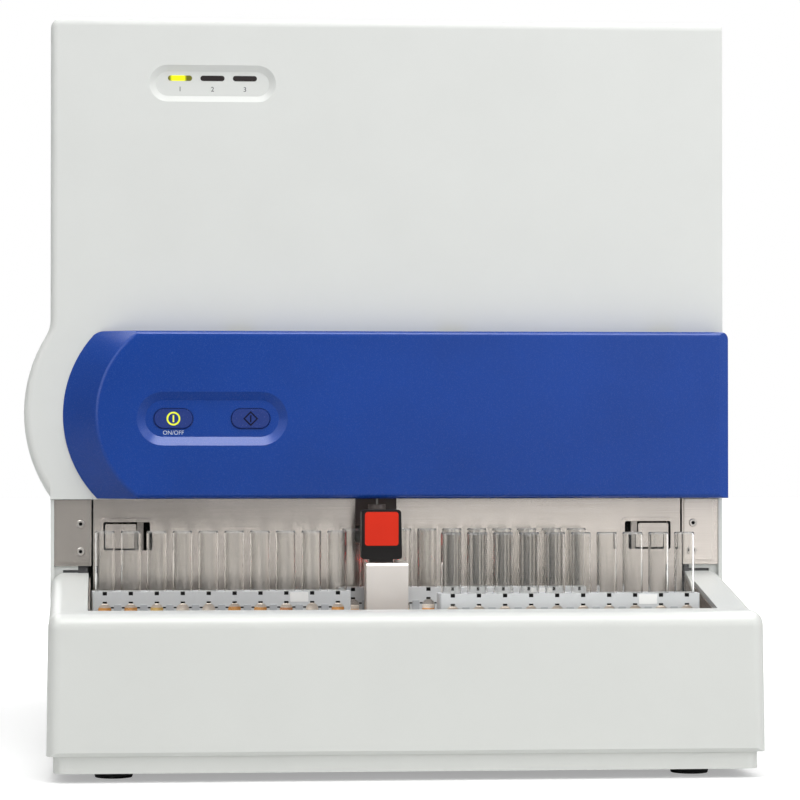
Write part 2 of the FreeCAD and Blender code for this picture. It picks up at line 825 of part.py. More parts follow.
def tray_liner():
    """Folded steel floor of the well, with an upstand on three sides."""
    low = liner_under
    floor = box((-liner_half_width, liner_half_width), (liner_front, panel_front - seam), (low, liner_floor))
    front = box(
        (-liner_half_width, liner_half_width),
        (liner_front, liner_front + liner_thickness),
        (low, lip_height - 2 * liner_rim_drop),
    )
    rim = liner_rim_drop
    start = Vector(-liner_half_width, liner_front, lip_height - rim)
    middle = Vector(-liner_half_width, crest_middle_depth, crest_middle_height - rim)
    end = Vector(-liner_half_width, tray_back, crest_height - rim)
    side_face = Part.Face(
        Part.Wire(
            [
                Part.makeLine(Vector(-liner_half_width, liner_front, low), start),
                Part.Arc(start, middle, end).toShape(),
                Part.makeLine(end, Vector(-liner_half_width, tray_back, low)),
                Part.makeLine(
                    Vector(-liner_half_width, tray_back, low), Vector(-liner_half_width, liner_front, low)
                ),
            ]
        )
    )
    side = side_face.extrude(ACROSS * liner_thickness)
    return joined([floor, front, side, mirrored(side)])


# ---- steel station behind the racks ----
def latch_block(side, margin, y, corner):
    """Block round the left (-1) or right (1) latch window, wider by a margin all round."""
    x, z = latch_window_centre
    width, height = latch_window
    reach = (width / 2 + margin, height / 2 + margin)
    centre = side * x
    return rounded_block(
        (centre - reach[0], centre + reach[0]), y, (z - reach[1], z + reach[1]), corner, BACK
    )


def station_panel():
    """Steel back plate with a slot for the probe and a bordered window for each latch."""
    plate = box((-panel_half_width, panel_half_width), (panel_front, panel_back), (liner_under, panel_top))
    through = (panel_front - 1, panel_back + 1)
    width, height = latch_border
    slot_heights = (probe_slot_bottom, panel_top + 2 * slot_corner)
    cuts = [rounded_block(probe_slot, through, slot_heights, slot_corner, BACK)]
    for side in (-1, 1):
        border = latch_block(side, width, (panel_front - height, panel_back), window_corner + width)
        plate = plate.fuse(border)
        cuts.append(latch_block(side, 0.0, through, window_corner))
    return plate.cut(Part.Compound(cuts)).removeSplitter()


def side_bracket():
    """Left cover bracket: a raised plate on a wider flange. The right one is its mirror."""
    from_inner, from_outer, from_below = bracket_plate
    top = cover_bottom - seam
    flange = box((left_side + wall, -bracket_inner), (panel_front, panel_back), (bracket_bottom, top))
    plate = rounded_block(
        (left_side + from_outer, -bracket_inner - from_inner),
        (tray_back, panel_front),
        (bracket_bottom + from_below, top),
        window_corner,
        BACK,
    )
    holes = [
        rod(screw_shank + running_gap, panel_back - tray_back + 2, Vector(-screw_x, tray_back - 1, z), BACK)
        for z in screw_places
    ]
    return flange.fuse(plate).removeSplitter().cut(Part.Compound(holes))


def bracket_screws():
    """Socket screws with chamfered heads and a hexagonal recess."""
    across, depth = screw_socket
    corners = [math.radians(60 * i) for i in range(6)]
    screws = []
    for side in (-1, 1):
        for z in screw_places:
            start = Vector(side * screw_x, tray_back - screw_head, z)
            head = rod(screw_radius, screw_head, start, BACK)
            front = [edge for edge in head.Edges if near(edge.BoundBox.YMax, start.y)]
            head = head.makeChamfer(screw_head / 4, front)
            socket = outline(
                [start + Vector(across * math.cos(turn), 0, across * math.sin(turn)) for turn in corners]
            ).extrude(BACK * depth)
            shank = rod(screw_shank, flange_back - tray_back, start + BACK * screw_head, BACK)
            screws.append(head.cut(socket).fuse(shank))
    return Part.Compound(screws)


def latch():
    """Left slide latch: thumb plate in the window, carrier behind the panel and a bolt."""
    x, z = latch_window_centre
    width, height = latch_window
    plate_width, plate_height = latch_plate
    outer = -x - width / 2 + latch_gap
    behind = panel_back + slide_gap
    thumb = rounded_block(
        (outer, outer + plate_width),
        (panel_front + latch_recess, behind + sheet),
        (z - plate_height / 2, z + plate_height / 2),
        window_corner,
        BACK,
    )
    carrier = box(
        (outer + 1, outer + plate_width + latch_bolt),
        (behind, behind + sheet),
        (z - height / 2 - latch_cover, z + height / 2 + latch_cover),
    )
    return joined([thumb, carrier])


def latch_guides():
    """Two pairs of rails on the back of the panel, one above and one below each latch."""
    x, z = latch_window_centre
    half = latch_window[1] / 2 + latch_cover + slide_gap
    outer, inner, height = latch_rail
    rails = []
    for side in (-1, 1):
        span = sorted((side * (x - inner), side * (x + outer)))
        for low in (z - half - height, z + half):
            rails.append(box(span, (panel_back, panel_back + 2 * sheet), (low, low + height)))
    return Part.Compound(rails)


def reader_post():
    """Bent steel post: front plate, two cheeks and a top that carries the reader."""
    left, right = post_span
    front = post_front
    back = front + post_depth

    def top_front(edge):
        bounds = edge.BoundBox
        return runs_along(edge, ACROSS) and near(bounds.YMax, front) and near(bounds.ZMin, post_top)

    outside = box((left, right), (front, back), (liner_floor, post_top))
    outside = round_edges(outside, post_bend, top_front)
    inside = box((left + sheet, right - sheet), (front + sheet, back + 1), (liner_floor - 1, post_top - sheet))
    foot = box((left + sheet, right - sheet), (front + sheet, back), (liner_floor, liner_floor + sheet))
    return joined([outside.cut(inside), foot])


def reader_glass_block(back):
    """Room of the reader's rear window, up to a given depth."""
    middle = sum(reader_span) / 2
    width, sill, height, depth = reader_glass
    low = reader_heights[0] + sill
    front = reader_front + reader_depth - depth
    return box((middle - width / 2, middle + width / 2), (front, back), (low, low + height))


def reader_housing():
    left, right = reader_span
    low, high = reader_heights
    back = reader_front + reader_depth
    face = outline(
        [
            Vector(left - reader_taper, reader_front, low),
            Vector(right + reader_taper, reader_front, low),
            Vector(right, reader_front, high),
            Vector(left, reader_front, high),
        ]
    )
    body = face.extrude(BACK * reader_depth)
    body = round_edges(
        body, reader_corner, lambda edge: near(edge.BoundBox.YMax - edge.BoundBox.YMin, reader_depth)
    )
    middle = (left + right) / 2
    stem = box(
        (middle - reader_stem / 2, middle + reader_stem / 2),
        (reader_front + 1, post_front + post_depth),
        (post_top, low),
    )
    return joined([body, stem]).cut(reader_glass_block(back + 1))


def reader_window():
    return reader_glass_block(reader_front + reader_depth - glass_inset)


def reader_label():
    middle = sum(reader_span) / 2
    half = label_size / 2
    return rounded_block(
        (middle - half, middle + half),
        (reader_front - label_thickness, reader_front),
        (label_height - half, label_height + half),
        label_corner,
        BACK,
    )


# ---- racks and tubes ----
def rack(corner):
    """Moulded rack: ten round pockets, each with an arched window and a notch in the top edge."""
    left, front = corner
    foot = rack_foot
    top = foot + rack_height
    block = box((left, left + rack_length), (front, front + rack_depth), (foot, top))
    ends = [edge for edge in block.Edges if runs_along(edge, UP)]
    block = block.makeChamfer(rack_chamfer, ends)
    middle = front + rack_depth / 2
    radius = tube_radius + tube_hole_gap
    width, sill, head = rack_window
    half = width / 2
    sight_width, sight_height = rack_sight
    notch_width, notch_depth = rack_notch
    depths = (front - 1, middle)
    cuts = []
    for step in tube_step:
        x = left + step
        cuts.append(rod(radius, rack_height, Vector(x, middle, foot + rack_floor), UP))
        spring = foot + head - half
        cuts.append(box((x - half, x + half), depths, (foot + sill, spring)))
        cuts.append(rod(half, middle - depths[0], Vector(x, depths[0], spring), BACK))
        cuts.append(
            box((x - sight_width / 2, x + sight_width / 2), depths, (spring, foot + head + sight_height))
        )
        cuts.append(box((x - notch_width / 2, x + notch_width / 2), depths, (top - notch_depth, top + 1)))
    return block.cut(Part.Compound(cuts))


def tubes(corner):
    """Ten open sample tubes standing in the pockets of one rack."""
    left, front = corner
    middle = front + rack_depth / 2
    glasses = []
    for step in tube_step:
        place = Vector(left + step, middle, tube_foot)
        outside = rod(tube_radius, tube_length, place, UP)
        inside = rod(tube_radius - tube_wall, tube_length, place + UP * tube_wall, UP)
        glasses.append(outside.cut(inside))
    return Part.Compound(glasses)


# ---- door ----
def door_rim(inset):
    """Slanted cone whose surface is the sloped round rim at the door's left end."""
    circles = []
    for depth in (door_front + inset, door_back):
        share = (depth - door_front) / door_thickness
        from_side = door_face_round[0] + (door_base_round[0] - door_face_round[0]) * share
        radius = door_face_round[1] + (door_base_round[1] - door_face_round[1]) * share
        centre = Vector(left_side + from_side, depth, door_middle)
        circles.append(Part.Wire(Part.makeCircle(radius - inset * math.sqrt(2), centre, BACK)))
    return Part.makeLoft(circles, True, True)


def door_form(inset):
    """The door as a full block: a slab with a sloped round rim at its left end."""
    front = door_front + inset
    low = door_bottom + inset
    high = door_top - inset
    right = half_width - inset
    split = left_side + door_face_round[0]
    left_part = box((-housing_width, split), (front, door_back), (low, high)).common(door_rim(inset))
    form = left_part.fuse(box((split, right), (front, door_back), (low, high))).removeSplitter()
    if inset < door_edge / 2:
        form = round_edges(
            form,
            door_edge,
            lambda edge: near(edge.BoundBox.YMax, front) and edge.BoundBox.XMin < right - 1,
        )
    bevel_width = door_end_bevel - inset / 2
    outer_end = outline(
        [
            Vector(right - bevel_width, front, low),
            Vector(right + 1, front, low),
            Vector(right + 1, front + door_end_bevel_depth * (1 + 1 / bevel_width), low),
        ]
    ).extrude(UP * (high - low))
    form = form.cut(outer_end)
    corner = max(door_corner - inset, 1)
    corner_block = box((right - corner, right + 1), (front - 1, door_back + 1), (high - corner, high + 1))
    corner_rod = rod(corner, door_thickness + 2, Vector(right - corner, front - 1, high - corner), BACK)
    return form.cut(corner_block.cut(corner_rod))


def front_door():
    shell = door_form(0.0)
    swing = door_swing_radius
    above = box((-housing_width, housing_width), (hinge_depth, door_back + 1), (hinge_height, door_top + 1))
    bead = rod(swing, 2 * housing_width, Vector(-housing_width, hinge_depth, hinge_height), ACROSS)
    shell = shell.cut(above.cut(bead))
    cavity = door_form(wall)
    deeper = cavity.copy()
    deeper.translate(BACK * wall)
    shell = shell.cut(cavity.fuse(deeper))
    shell = shell.fuse(obround_block(button_recess_centre, button_recess, door_front + wall, boss_back))
    for x in (-1, 1):
        for z in (-1, 1):
            peg = Vector(
                button_recess_centre[0] + x * (button_recess[0] / 2 - board_peg_inset[0]),
                boss_back,
                button_height + z * (button_recess[1] / 2 - board_peg_inset[1]),
            )
            shell = shell.fuse(rod(board_peg_radius, board_standoff, peg, BACK))
    shell = shell.cut(
        recess(button_recess_centre, button_recess, button_recess_floor, door_front, recess_depth)
    )
    width, height = button_size
    for x in button_places:
        hole = obround_block(
            (x, button_height),
            (width + 2 * button_gap, height + 2 * button_gap),
            button_floor - 1,
            boss_back + 1,
        )
        shell = shell.cut(hole)
    probe_notch = box(
        probe_slot,
        (probe_place.y - probe_collar - notch_clear, door_back + 1),
        (door_bottom - 1, door_bottom + 2 * wall),
    )
    shell = shell.cut(probe_notch)
    reach = hinge_width / 2 + hinge_clear
    sweep = swing * math.sqrt(2) + 1
    for x in hinge_places:
        for side in (-1, 1):
            start = x + side * (reach + hinge_ear / 2) - hinge_ear / 2
            ear = box(
                (start, start + hinge_ear),
                (hinge_depth - swing, hinge_depth + swing),
                (hinge_height - swing, door_top - wall / 2),
            )
            ear = ear.cut(above.cut(bead))
            shell = shell.fuse(ear)
        pocket = rod(sweep, 2 * reach, Vector(x - reach, hinge_depth, hinge_height), ACROSS)
        hole_start = Vector(x - reach - hinge_ear - 1, hinge_depth, hinge_height)
        hole = rod(hinge_pin_radius + running_gap, 2 * (reach + hinge_ear + 1), hole_start, ACROSS)
        shell = shell.cut(pocket.fuse(hole))
    return shell.removeSplitter()


def hinge_brackets():
    """Three knuckles on the cover's face, each between two ears of the door."""
    knuckles = []
    radius = door_swing_radius - slide_gap
    for x in hinge_places:
        start = Vector(x - hinge_width / 2, hinge_depth, hinge_height)
        knuckle = rod(radius, hinge_width, start, ACROSS)
        leaf = box(
            (start.x, start.x + hinge_width),
            (hinge_depth, cover_front),
            (hinge_height - radius, hinge_height + radius),
        )
        hole = rod(hinge_pin_radius + running_gap, hinge_width, start, ACROSS)
        knuckles.append(knuckle.fuse(leaf).removeSplitter().cut(hole))
    return Part.Compound(knuckles)


def hinge_pins():
    length = hinge_width + 2 * (hinge_clear + hinge_ear)
    return Part.Compound(
        [
            rod(hinge_pin_radius, length, Vector(x - length / 2, hinge_depth, hinge_height), ACROSS)
            for x in hinge_places
        ]
    )


def button(x):
    """Push button: cap with a bevelled rim, and a flange that stops it behind the recess floor."""
    width, height = button_size
    cap = obround_block((x, button_height), button_size, button_floor - button_raise, boss_back + slide_gap)
    rim = [edge for edge in cap.Edges if near(edge.BoundBox.YMax, button_floor - button_raise)]
    cap = cap.makeChamfer(button_chamfer, rim)
    flange = obround_block(
        (x, button_height),
        (width + 2 * button_flange, height + 2 * button_flange),
        boss_back + slide_gap,
        boss_back + slide_gap + button_flange_thickness,
    )
    return cap.fuse(flange)


def button_board():
    x, z = button_recess_centre
    half_board = (button_recess[0] / 2 - board_margin[0], button_recess[1] / 2 - board_margin[1])
    board = box(
        (x - half_board[0], x + half_board[0]),
        (board_front, board_front + board_thickness),
        (z - half_board[1], z + half_board[1]),
    )
    switches = []
    half = switch_size / 2
    clear = boss_back + slide_gap + button_flange_thickness + button_travel + slide_gap
    for place in button_places:
        switches.append(box((place - half, place + half), (clear, board_front), (z - half, z + half)))
    return joined([board] + switches)


# ---- probe ----
def probe_column():
    front, depth, width = column
    groove_width, web, end = column_groove
    foot_reach, foot_thickness = column_foot
    x = probe_place.x
    top = probe_arm[1] + column_rise
    rail = box((x - width / 2, x + width / 2), (front, front + depth), (shelf_top, top))
    groove = box(
        (x - groove_width / 2, x + groove_width / 2),
        (front + web, front + depth + 1),
        (shelf_top + end, top - end),
    )
    foot = box(
        (x - width, x + width), (front, front + depth + foot_reach), (shelf_top, shelf_top + foot_thickness)
    )
    return joined([rail.cut(groove), foot])


def probe_carriage():
    front, depth, width = column
    x = probe_place.x
    low, high = probe_arm
    rear = front - slide_gap
    height = (low - carriage_overhang[0], high + carriage_overhang[1])
    slider = box((x - width / 2, x + width / 2), (rear - carriage_depth, rear), height)
    grip = width / 2 + slide_gap
    jaws = [
        box((x - grip - jaw_width, x - grip), (rear, front + jaw_reach), height),
        box((x + grip, x + grip + jaw_width), (rear, front + jaw_reach), height),
    ]
    bridge = box((x - grip - jaw_width, x + grip + jaw_width), (rear - bridge_depth, rear), height)
    arm = box((x - arm_width / 2, x + arm_width / 2), (probe_place.y, rear - carriage_depth), (low, high))
    collar = rod(probe_collar, high - low, Vector(x, probe_place.y, low), UP)
    hole = rod(probe_radius, high - low, Vector(x, probe_place.y, low), UP)
    return joined([slider, bridge, arm, collar] + jaws).cut(hole)


def sample_probe():
    """Steel needle with a pointed tip and a hose fitting on top."""
    high = probe_arm[1]
    length = high - probe_tip
    needle = rod(probe_radius, length - probe_point, probe_place + UP * probe_point, UP)
    tip = Part.makeCone(probe_radius * 0.4, probe_radius, probe_point, probe_place, UP)
    fitting = rod(probe_radius * 2.5, probe_fitting, Vector(probe_place.x, probe_place.y, high), UP)
    return joined([needle, tip, fitting])


def wash_well():
    """Rinsing collar that the needle passes through, held in the panel's slot."""
    x = probe_place.x
    y = probe_place.y
    outer, inner, height = well_body
    low = probe_tip + 1
    high = low + height
    body = ring(outer, inner, height, Vector(x, y, low), UP)
    arm = box((x - arm_width / 2, x + arm_width / 2), (y + outer - 1, panel_back), (low + 2, high - 2))
    plate = box(
        (probe_slot[0] - well_margin, probe_slot[1] + well_margin),
        (panel_back, flange_back),
        (low - well_plate_margin, high + well_plate_margin),
    )
    return joined([body, arm, plate])


# ---- works on the shelf and base ----
def optics_bench():
    y, z = optical_axis
    post_length, post_width = bench_post
    plate = box(
        (bench_start, bench_start + bench_length),
        (y - bench_width / 2, y + bench_width / 2),
        (shelf_top, bench_top),
    )
    blocks = [plate]
    for place in bench_posts:
        x = bench_start + place
        blocks.append(
            box(
                (x - post_length / 2, x + post_length / 2),
                (y - post_width / 2, y + post_width / 2),
                (bench_top, z),
            )
        )
    lens_start = bench_start + lens_span[0] + lens_span[1]
    bores = [
        rod(lamp_radius + running_gap, sum(lamp_span) + 1, Vector(bench_start, y, z), ACROSS),
        rod(lens_radius + running_gap, lens_span[2], Vector(lens_start, y, z), ACROSS),
    ]
    return joined(blocks).cut(Part.Compound(bores))


def strobe_lamp():
    y, z = optical_axis
    begin, length = lamp_span
    thinner, nose = lamp_nose
    start = Vector(bench_start + begin, y, z)
    body = rod(lamp_radius, length, start, ACROSS)
    return joined([body, rod(lamp_radius - thinner, nose, start + ACROSS * length, ACROSS)])


def flow_cell():
    """Thin glass channel that the sample runs through, between lamp and lens."""
    y, z = optical_axis
    x = bench_start + cell_place
    thickness, width, above = cell_holder
    glass_thickness, side = cell_glass
    holder = box(
        (x - thickness / 2, x + thickness / 2), (y - width / 2, y + width / 2), (bench_top, z + above)
    )
    light_path = rod(cell_bore, thickness + 2, Vector(x - thickness / 2 - 1, y, z), ACROSS)
    glass = box(
        (x - glass_thickness / 2, x + glass_thickness / 2),
        (y - side / 2, y + side / 2),
        (z - side / 2, z + side / 2),
    )
    return joined([holder.cut(light_path), glass])


def objective():
    y, z = optical_axis
    begin, cone, barrel = lens_span
    start = Vector(bench_start + begin, y, z)
    return joined(
        [
            Part.makeCone(lens_radius / 2, lens_radius, cone, start, ACROSS),
            rod(lens_radius, barrel, start + ACROSS * cone, ACROSS),
        ]
    )


def camera():
    """Camera block that straddles the bench's last post."""
    y, z = optical_axis
    post_length, post_width = bench_post
    along = (bench_start + camera_start, bench_start + bench_length - camera_end)
    body = box(along, (y - camera_half, y + camera_half), (bench_top, z + camera_half))
    post = bench_start + bench_posts[-1]
    room = box(
        (post - post_length / 2 - 1, post + post_length / 2 + 1),
        (y - post_width / 2 - 1, y + post_width / 2 + 1),
        (bench_top - 1, z + slide_gap),
    )
    return body.cut(room)


def pump_body():
    """Hose pump on the shelf, its roller wheel facing the service opening."""
    x, z = pump_centre
    head_depth = pump_depth / 2
    front = Vector(x, pump_front, z)
    head = rod(pump_radius, head_depth, front, BACK)
    hollow = rod(pump_radius - pump_wall, head_depth - pump_wall, front, BACK)
    motor = rod(pump_radius - motor_inset, pump_depth, front + BACK * head_depth, BACK)
    stand = box(
        (x - pump_radius + motor_inset, x + pump_radius - motor_inset),
        (pump_front + 2, pump_front + pump_depth),
        (shelf_top, z - pump_radius / 2),
    )
    shaft = rod(shaft_radius, head_depth - 2, front + BACK * 2, BACK)
    return joined([joined([head, motor, stand]).cut(hollow), shaft])


def pump_rotor():
    x, z = pump_centre
    arm_thickness, arm_height = rotor_arm
    depth = pump_depth / 2 - pump_wall - 2
    front = pump_front + 1
    arms = [rod(rotor_hub, depth, Vector(x, front, z), BACK)]
    for i in range(3):
        turn = 120 * i + 90
        out = Vector(math.cos(math.radians(turn)), 0, math.sin(math.radians(turn)))
        arms.append(rod(roller_radius, depth, Vector(x, front, z) + out * rotor_radius, BACK))
        arm = box(
            (x, x + rotor_radius), (front, front + arm_thickness), (z - arm_height / 2, z + arm_height / 2)
        )
        arm.rotate(Vector(x, 0, z), FRONT, turn)
        arms.append(arm)
    bore = rod(shaft_radius + running_gap, depth + 2, Vector(x, pump_front, z), BACK)
    return joined(arms).cut(bore)


def power_supply():
    width, depth, height = supply_size
    right = half_width - supply_place[0]
    back = rear_face - supply_place[1]
    left = right - width
    middle = back - depth / 2
    body = box((left, right), (back - depth, back), (base_top, base_top + height))
    first, length, slot_depth, count = supply_slots
    slots = []
    for i in range(count):
        low = base_top + first + i * vent_pitch
        slots.append(
            box(
                (left - 1, left + slot_depth - 1),
                (middle - length / 2, middle + length / 2),
                (low, low + vent_slot),
            )
        )
    return body.cut(Part.Compound(slots))


def main_board():
    width, depth = mains_board
    spacer_radius, spacer_height = board_spacer
    left = left_side + mains_board_place[0]
    back = rear_face - mains_board_place[1]
    front = back - depth
    low = shelf_top + spacer_height
    top = low + board_thickness
    pieces = [box((left, left + width), (front, back), (low, top))]
    for x, y, part_width, part_depth, height in board_parts:
        pieces.append(
            box((left + x, left + x + part_width), (front + y, front + y + part_depth), (top, top + height))
        )
    for x in (left + spacer_inset, left + width - spacer_inset):
        for y in (front + spacer_inset, back - spacer_inset):
            pieces.append(rod(spacer_radius, spacer_height, Vector(x, y, shelf_top), UP))
    return joined(pieces)


def fan_housing():
    x, z = fan_centre
    half = fan_size / 2
    front = rear_posts - fan_depth
    frame = rounded_block((x - half, x + half), (front, rear_posts), (z - half, z + half), fan_corner, BACK)
    duct = rod(half - fan_rim, fan_depth + 2, Vector(x, front - 1, z), BACK)
    struts = [rod(fan_hub - 1, fan_motor, Vector(x, front, z), BACK)]
    for i in range(3):
        strut = box(
            (x, x + half - fan_rim + 1), (front, front + fan_strut), (z - fan_strut / 2, z + fan_strut / 2)
        )
        strut.rotate(Vector(x, 0, z), FRONT, 120 * i)
        struts.append(strut)
    axle = rod(fan_axle, fan_depth - fan_motor, Vector(x, front + 1, z), BACK)
    return joined([frame.cut(duct), axle] + struts)


def fan_rotor():
    """Hub with pitched blades, turning on the fan's axle."""
    x, z = fan_centre
    front = rear_posts - fan_depth + fan_motor + 1
    first = front + 1
    last = front + fan_turning_depth - 1
    below, above = blade_heights
    root = x + fan_hub - blade_thickness
    tip = x + fan_size / 2 - fan_rim - fan_tip_gap - 1
    blades = [rod(fan_hub, fan_turning_depth, Vector(x, front, z), BACK)]
    for i in range(fan_blades):
        blade = outline(
            [
                Vector(root, first, z - below),
                Vector(root, first + blade_thickness, z - below),
                Vector(root, last, z + above),
                Vector(root, last - blade_thickness, z + above),
            ]
        ).extrude(ACROSS * (tip - root))
        blade.rotate(Vector(x, 0, z), FRONT, 360 / fan_blades * i)
        blades.append(blade)
    bore = rod(fan_axle + running_gap, fan_turning_depth + 2, Vector(x, front - 1, z), BACK)
    return joined(blades).cut(bore)


def power_entry():
    """Mains socket with a switch well above it, in one moulded body."""
    x, z = entry_centre
    flange_x, flange_z = entry_flange
    body_x, body_z = entry_body
    socket_x, socket_z = socket_size
    mouth = entry_mouth
    flange_span = (x - flange_x / 2, x + flange_x / 2)
    flange = box(flange_span, (rear_face, mouth), (z - flange_z / 2, z + flange_z / 2))
    body_span = (x - body_x / 2, x + body_x / 2)
    body = box(body_span, (rear_face - entry_depth, rear_face), (z - body_z / 2, z + body_z / 2))
    middle = z - socket_drop
    socket = box(
        (x - socket_x / 2, x + socket_x / 2),
        (mouth - socket_depth, mouth + 1),
        (middle - socket_z / 2, middle + socket_z / 2),
    )
    half_well = rocker_size[0] / 2 + slide_gap
    half_height = rocker_size[1] / 2 + rocker_gap
    switch = box(
        (x - half_well, x + half_well),
        (mouth - rocker_well, mouth + 1),
        (rocker_centre.z - half_height, rocker_centre.z + half_height),
    )
    contact_x, contact_y, contact_z = contact_size
    floor = mouth - socket_depth
    contacts = [
        box(
            (x + dx - contact_x / 2, x + dx + contact_x / 2),
            (floor - 1, floor + contact_y),
            (middle + dz - contact_z / 2, middle + dz + contact_z / 2),
        )
        for dx, dz in contact_places
    ]
    pivots = []
    for start in (x - half_well - pivot_grip, x + half_well + pivot_grip - pivot_length):
        pivots.append(
            rod(rocker_pivot, pivot_length, Vector(start, rocker_centre.y, rocker_centre.z), ACROSS)
        )
    return joined([joined([flange, body]).cut(socket).cut(switch)] + contacts + pivots)


def rocker_switch():
    """Rocker with a hollow face, turned to its stored side."""
    start = rocker_centre - ACROSS * (rocker_size[0] / 2)
    half = rocker_size[1] / 2 - rocker_gap
    behind, half_skirt = rocker_skirt
    low_edge = start + Vector(0, rocker_depth, -half)
    high_edge = start + Vector(0, rocker_depth, half)
    dish = start + BACK * (rocker_depth - rocker_dish)
    low_skirt = start + Vector(0, -behind, -half_skirt)
    high_skirt = start + Vector(0, -behind, half_skirt)
    profile = Part.Face(
        Part.Wire(
            [
                Part.makeLine(low_skirt, low_edge),
                Part.Arc(low_edge, dish, high_edge).toShape(),
                Part.makeLine(high_edge, high_skirt),
                Part.makeLine(high_skirt, low_skirt),
            ]
        )
    )
    body = profile.extrude(ACROSS * rocker_size[0])
    body = body.cut(rod(rocker_pivot + running_gap, rocker_size[0], start, ACROSS))
    body.rotate(start, ACROSS, rocker_tilt)
    return body


def fluid_ports():
    """Hose barbs for cleaner, diluent and waste."""
    inside, outside = port_reach
    barbs = []
    for x in port_places:
        inner = Vector(x, rear_posts - inside, port_height)
        shank = rod(port_radius - running_gap, inside + wall, inner, BACK)
        barb = Part.makeCone(
            port_radius, port_radius - 2, outside, Vector(x, rear_face, port_height), BACK
        )
        barbs.append(shank.fuse(barb))
    return Part.Compound(barbs)


# ---- assembly ----
left_panel = side_panel()
left_bracket = side_bracket()
left_latch = latch()
nodes = {
    "feet": feet(),
    "base_plate": base_plate(),
    "plinth": plinth(),
    "chassis_frame": chassis_frame(),
    "equipment_shelf": equipment_shelf(),
    "left_side_panel": left_panel,
    "right_side_panel": mirrored(left_panel),
    "top_cover": top_cover(),
    "rear_panel": rear_panel(),
    "front_cover": front_cover(),
    "status_lights": status_lights(),
    "status_board": status_board(),
    "tray_cover": tray_cover(),
    "tray_liner": tray_liner(),
    "station_panel": station_panel(),
    "left_bracket": left_bracket,
    "right_bracket": mirrored(left_bracket),
    "bracket_screws": bracket_screws(),
    "latch_left": left_latch,
    "latch_right": mirrored(left_latch),
    "latch_guides": latch_guides(),
    "reader_post": reader_post(),
    "reader_housing": reader_housing(),
    "reader_window": reader_window(),
    "reader_label": reader_label(),
    "rack_left": rack(left_rack_corner),
    "rack_right": rack(right_rack_corner),
    "rack_rear": rack(rear_rack),
    "tubes_left": tubes(left_rack_corner),
    "tubes_right": tubes(right_rack_corner),
    "tubes_rear": tubes(rear_rack),
    "front_door": front_door(),
    "hinge_brackets": hinge_brackets(),
    "hinge_pins": hinge_pins(),
    "power_button": button(button_places[0]),
    "start_button": button(button_places[1]),
    "button_board": button_board(),
    "probe_column": probe_column(),
    "probe_carriage": probe_carriage(),
    "sample_probe": sample_probe(),
    "wash_well": wash_well(),
    "optics_bench": optics_bench(),
    "strobe_lamp": strobe_lamp(),
    "flow_cell": flow_cell(),
    "objective": objective(),
    "camera": camera(),
    "pump_body": pump_body(),
    "pump_rotor": pump_rotor(),
    "power_supply": power_supply(),
    "main_board": main_board(),
    "fan_housing": fan_housing(),
    "fan_rotor": fan_rotor(),
    "power_entry": power_entry(),
    "rocker_switch": rocker_switch(),
    "fluid_ports": fluid_ports(),
}

to_origin = Vector(cheek_reach / 2, -housing_depth / 2, 0)
os.makedirs("parts", exist_ok=True)
for name, shape in nodes.items():
    placed = shape.copy()
    placed.translate(to_origin)
    placed.exportStep("parts/" + name + ".step")
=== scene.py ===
import math
import random

import bmesh
import bpy
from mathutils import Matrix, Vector

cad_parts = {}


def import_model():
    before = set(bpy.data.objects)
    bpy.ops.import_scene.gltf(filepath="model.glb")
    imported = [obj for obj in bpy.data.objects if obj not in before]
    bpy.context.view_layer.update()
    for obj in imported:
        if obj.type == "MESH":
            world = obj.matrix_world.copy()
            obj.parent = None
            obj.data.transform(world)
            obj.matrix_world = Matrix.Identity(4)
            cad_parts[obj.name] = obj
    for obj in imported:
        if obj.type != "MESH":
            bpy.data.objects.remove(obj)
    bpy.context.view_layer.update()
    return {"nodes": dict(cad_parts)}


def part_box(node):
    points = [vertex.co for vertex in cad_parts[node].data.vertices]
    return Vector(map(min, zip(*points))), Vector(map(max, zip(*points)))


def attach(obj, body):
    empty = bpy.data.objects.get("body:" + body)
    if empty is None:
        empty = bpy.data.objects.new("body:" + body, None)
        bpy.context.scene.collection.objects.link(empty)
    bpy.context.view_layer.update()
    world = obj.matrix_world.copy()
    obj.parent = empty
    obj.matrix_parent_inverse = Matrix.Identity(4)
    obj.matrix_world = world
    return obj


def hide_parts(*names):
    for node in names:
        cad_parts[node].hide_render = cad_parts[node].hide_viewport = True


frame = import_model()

# Looks of a benchtop urine analyzer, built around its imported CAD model. Metres, +Z up, the
# tray faces -Y. Shapes that repeat a CAD node take their place from that node's box.

MM = 0.001
TUBES_IN_RACK = 10
random.seed(11)


# ---- colours ----
def srgb(red, green, blue):
    """Linear colour from screen values of 0 to 255."""
    linear = []
    for value in (red, green, blue):
        share = value / 255
        linear.append(share / 12.92 if share <= 0.04045 else ((share + 0.055) / 1.055) ** 2.4)
    return tuple(linear)


# ---- material building blocks ----
# share of a noise pattern's range over which colours and numbers change
PATTERN_LOW = 0.3
PATTERN_HIGH = 0.7
# periods per metre of the slight blotches on moulded surfaces, and how uneven their gloss is
BLOTCHES = 14
MOULDED_UNEVEN = 0.12
# brushing lines and smudges: periods per metre, shares that draw them out, the range of the
# pattern over which the colour changes, and how uneven the gloss is
BRUSH_LINES = 2400
BRUSH_STRETCH = 0.006
BRUSH_DETAIL = 2.0
BRUSH_TONES = (0.35, 0.65)
SMUDGES = 26
SMUDGE_STRETCH = 0.12
BRUSHED_UNEVEN = 0.15
# share that draws out the upright streaks in glass and liquids
STREAK_STRETCH = 0.02
EDGE_SAMPLES = 4


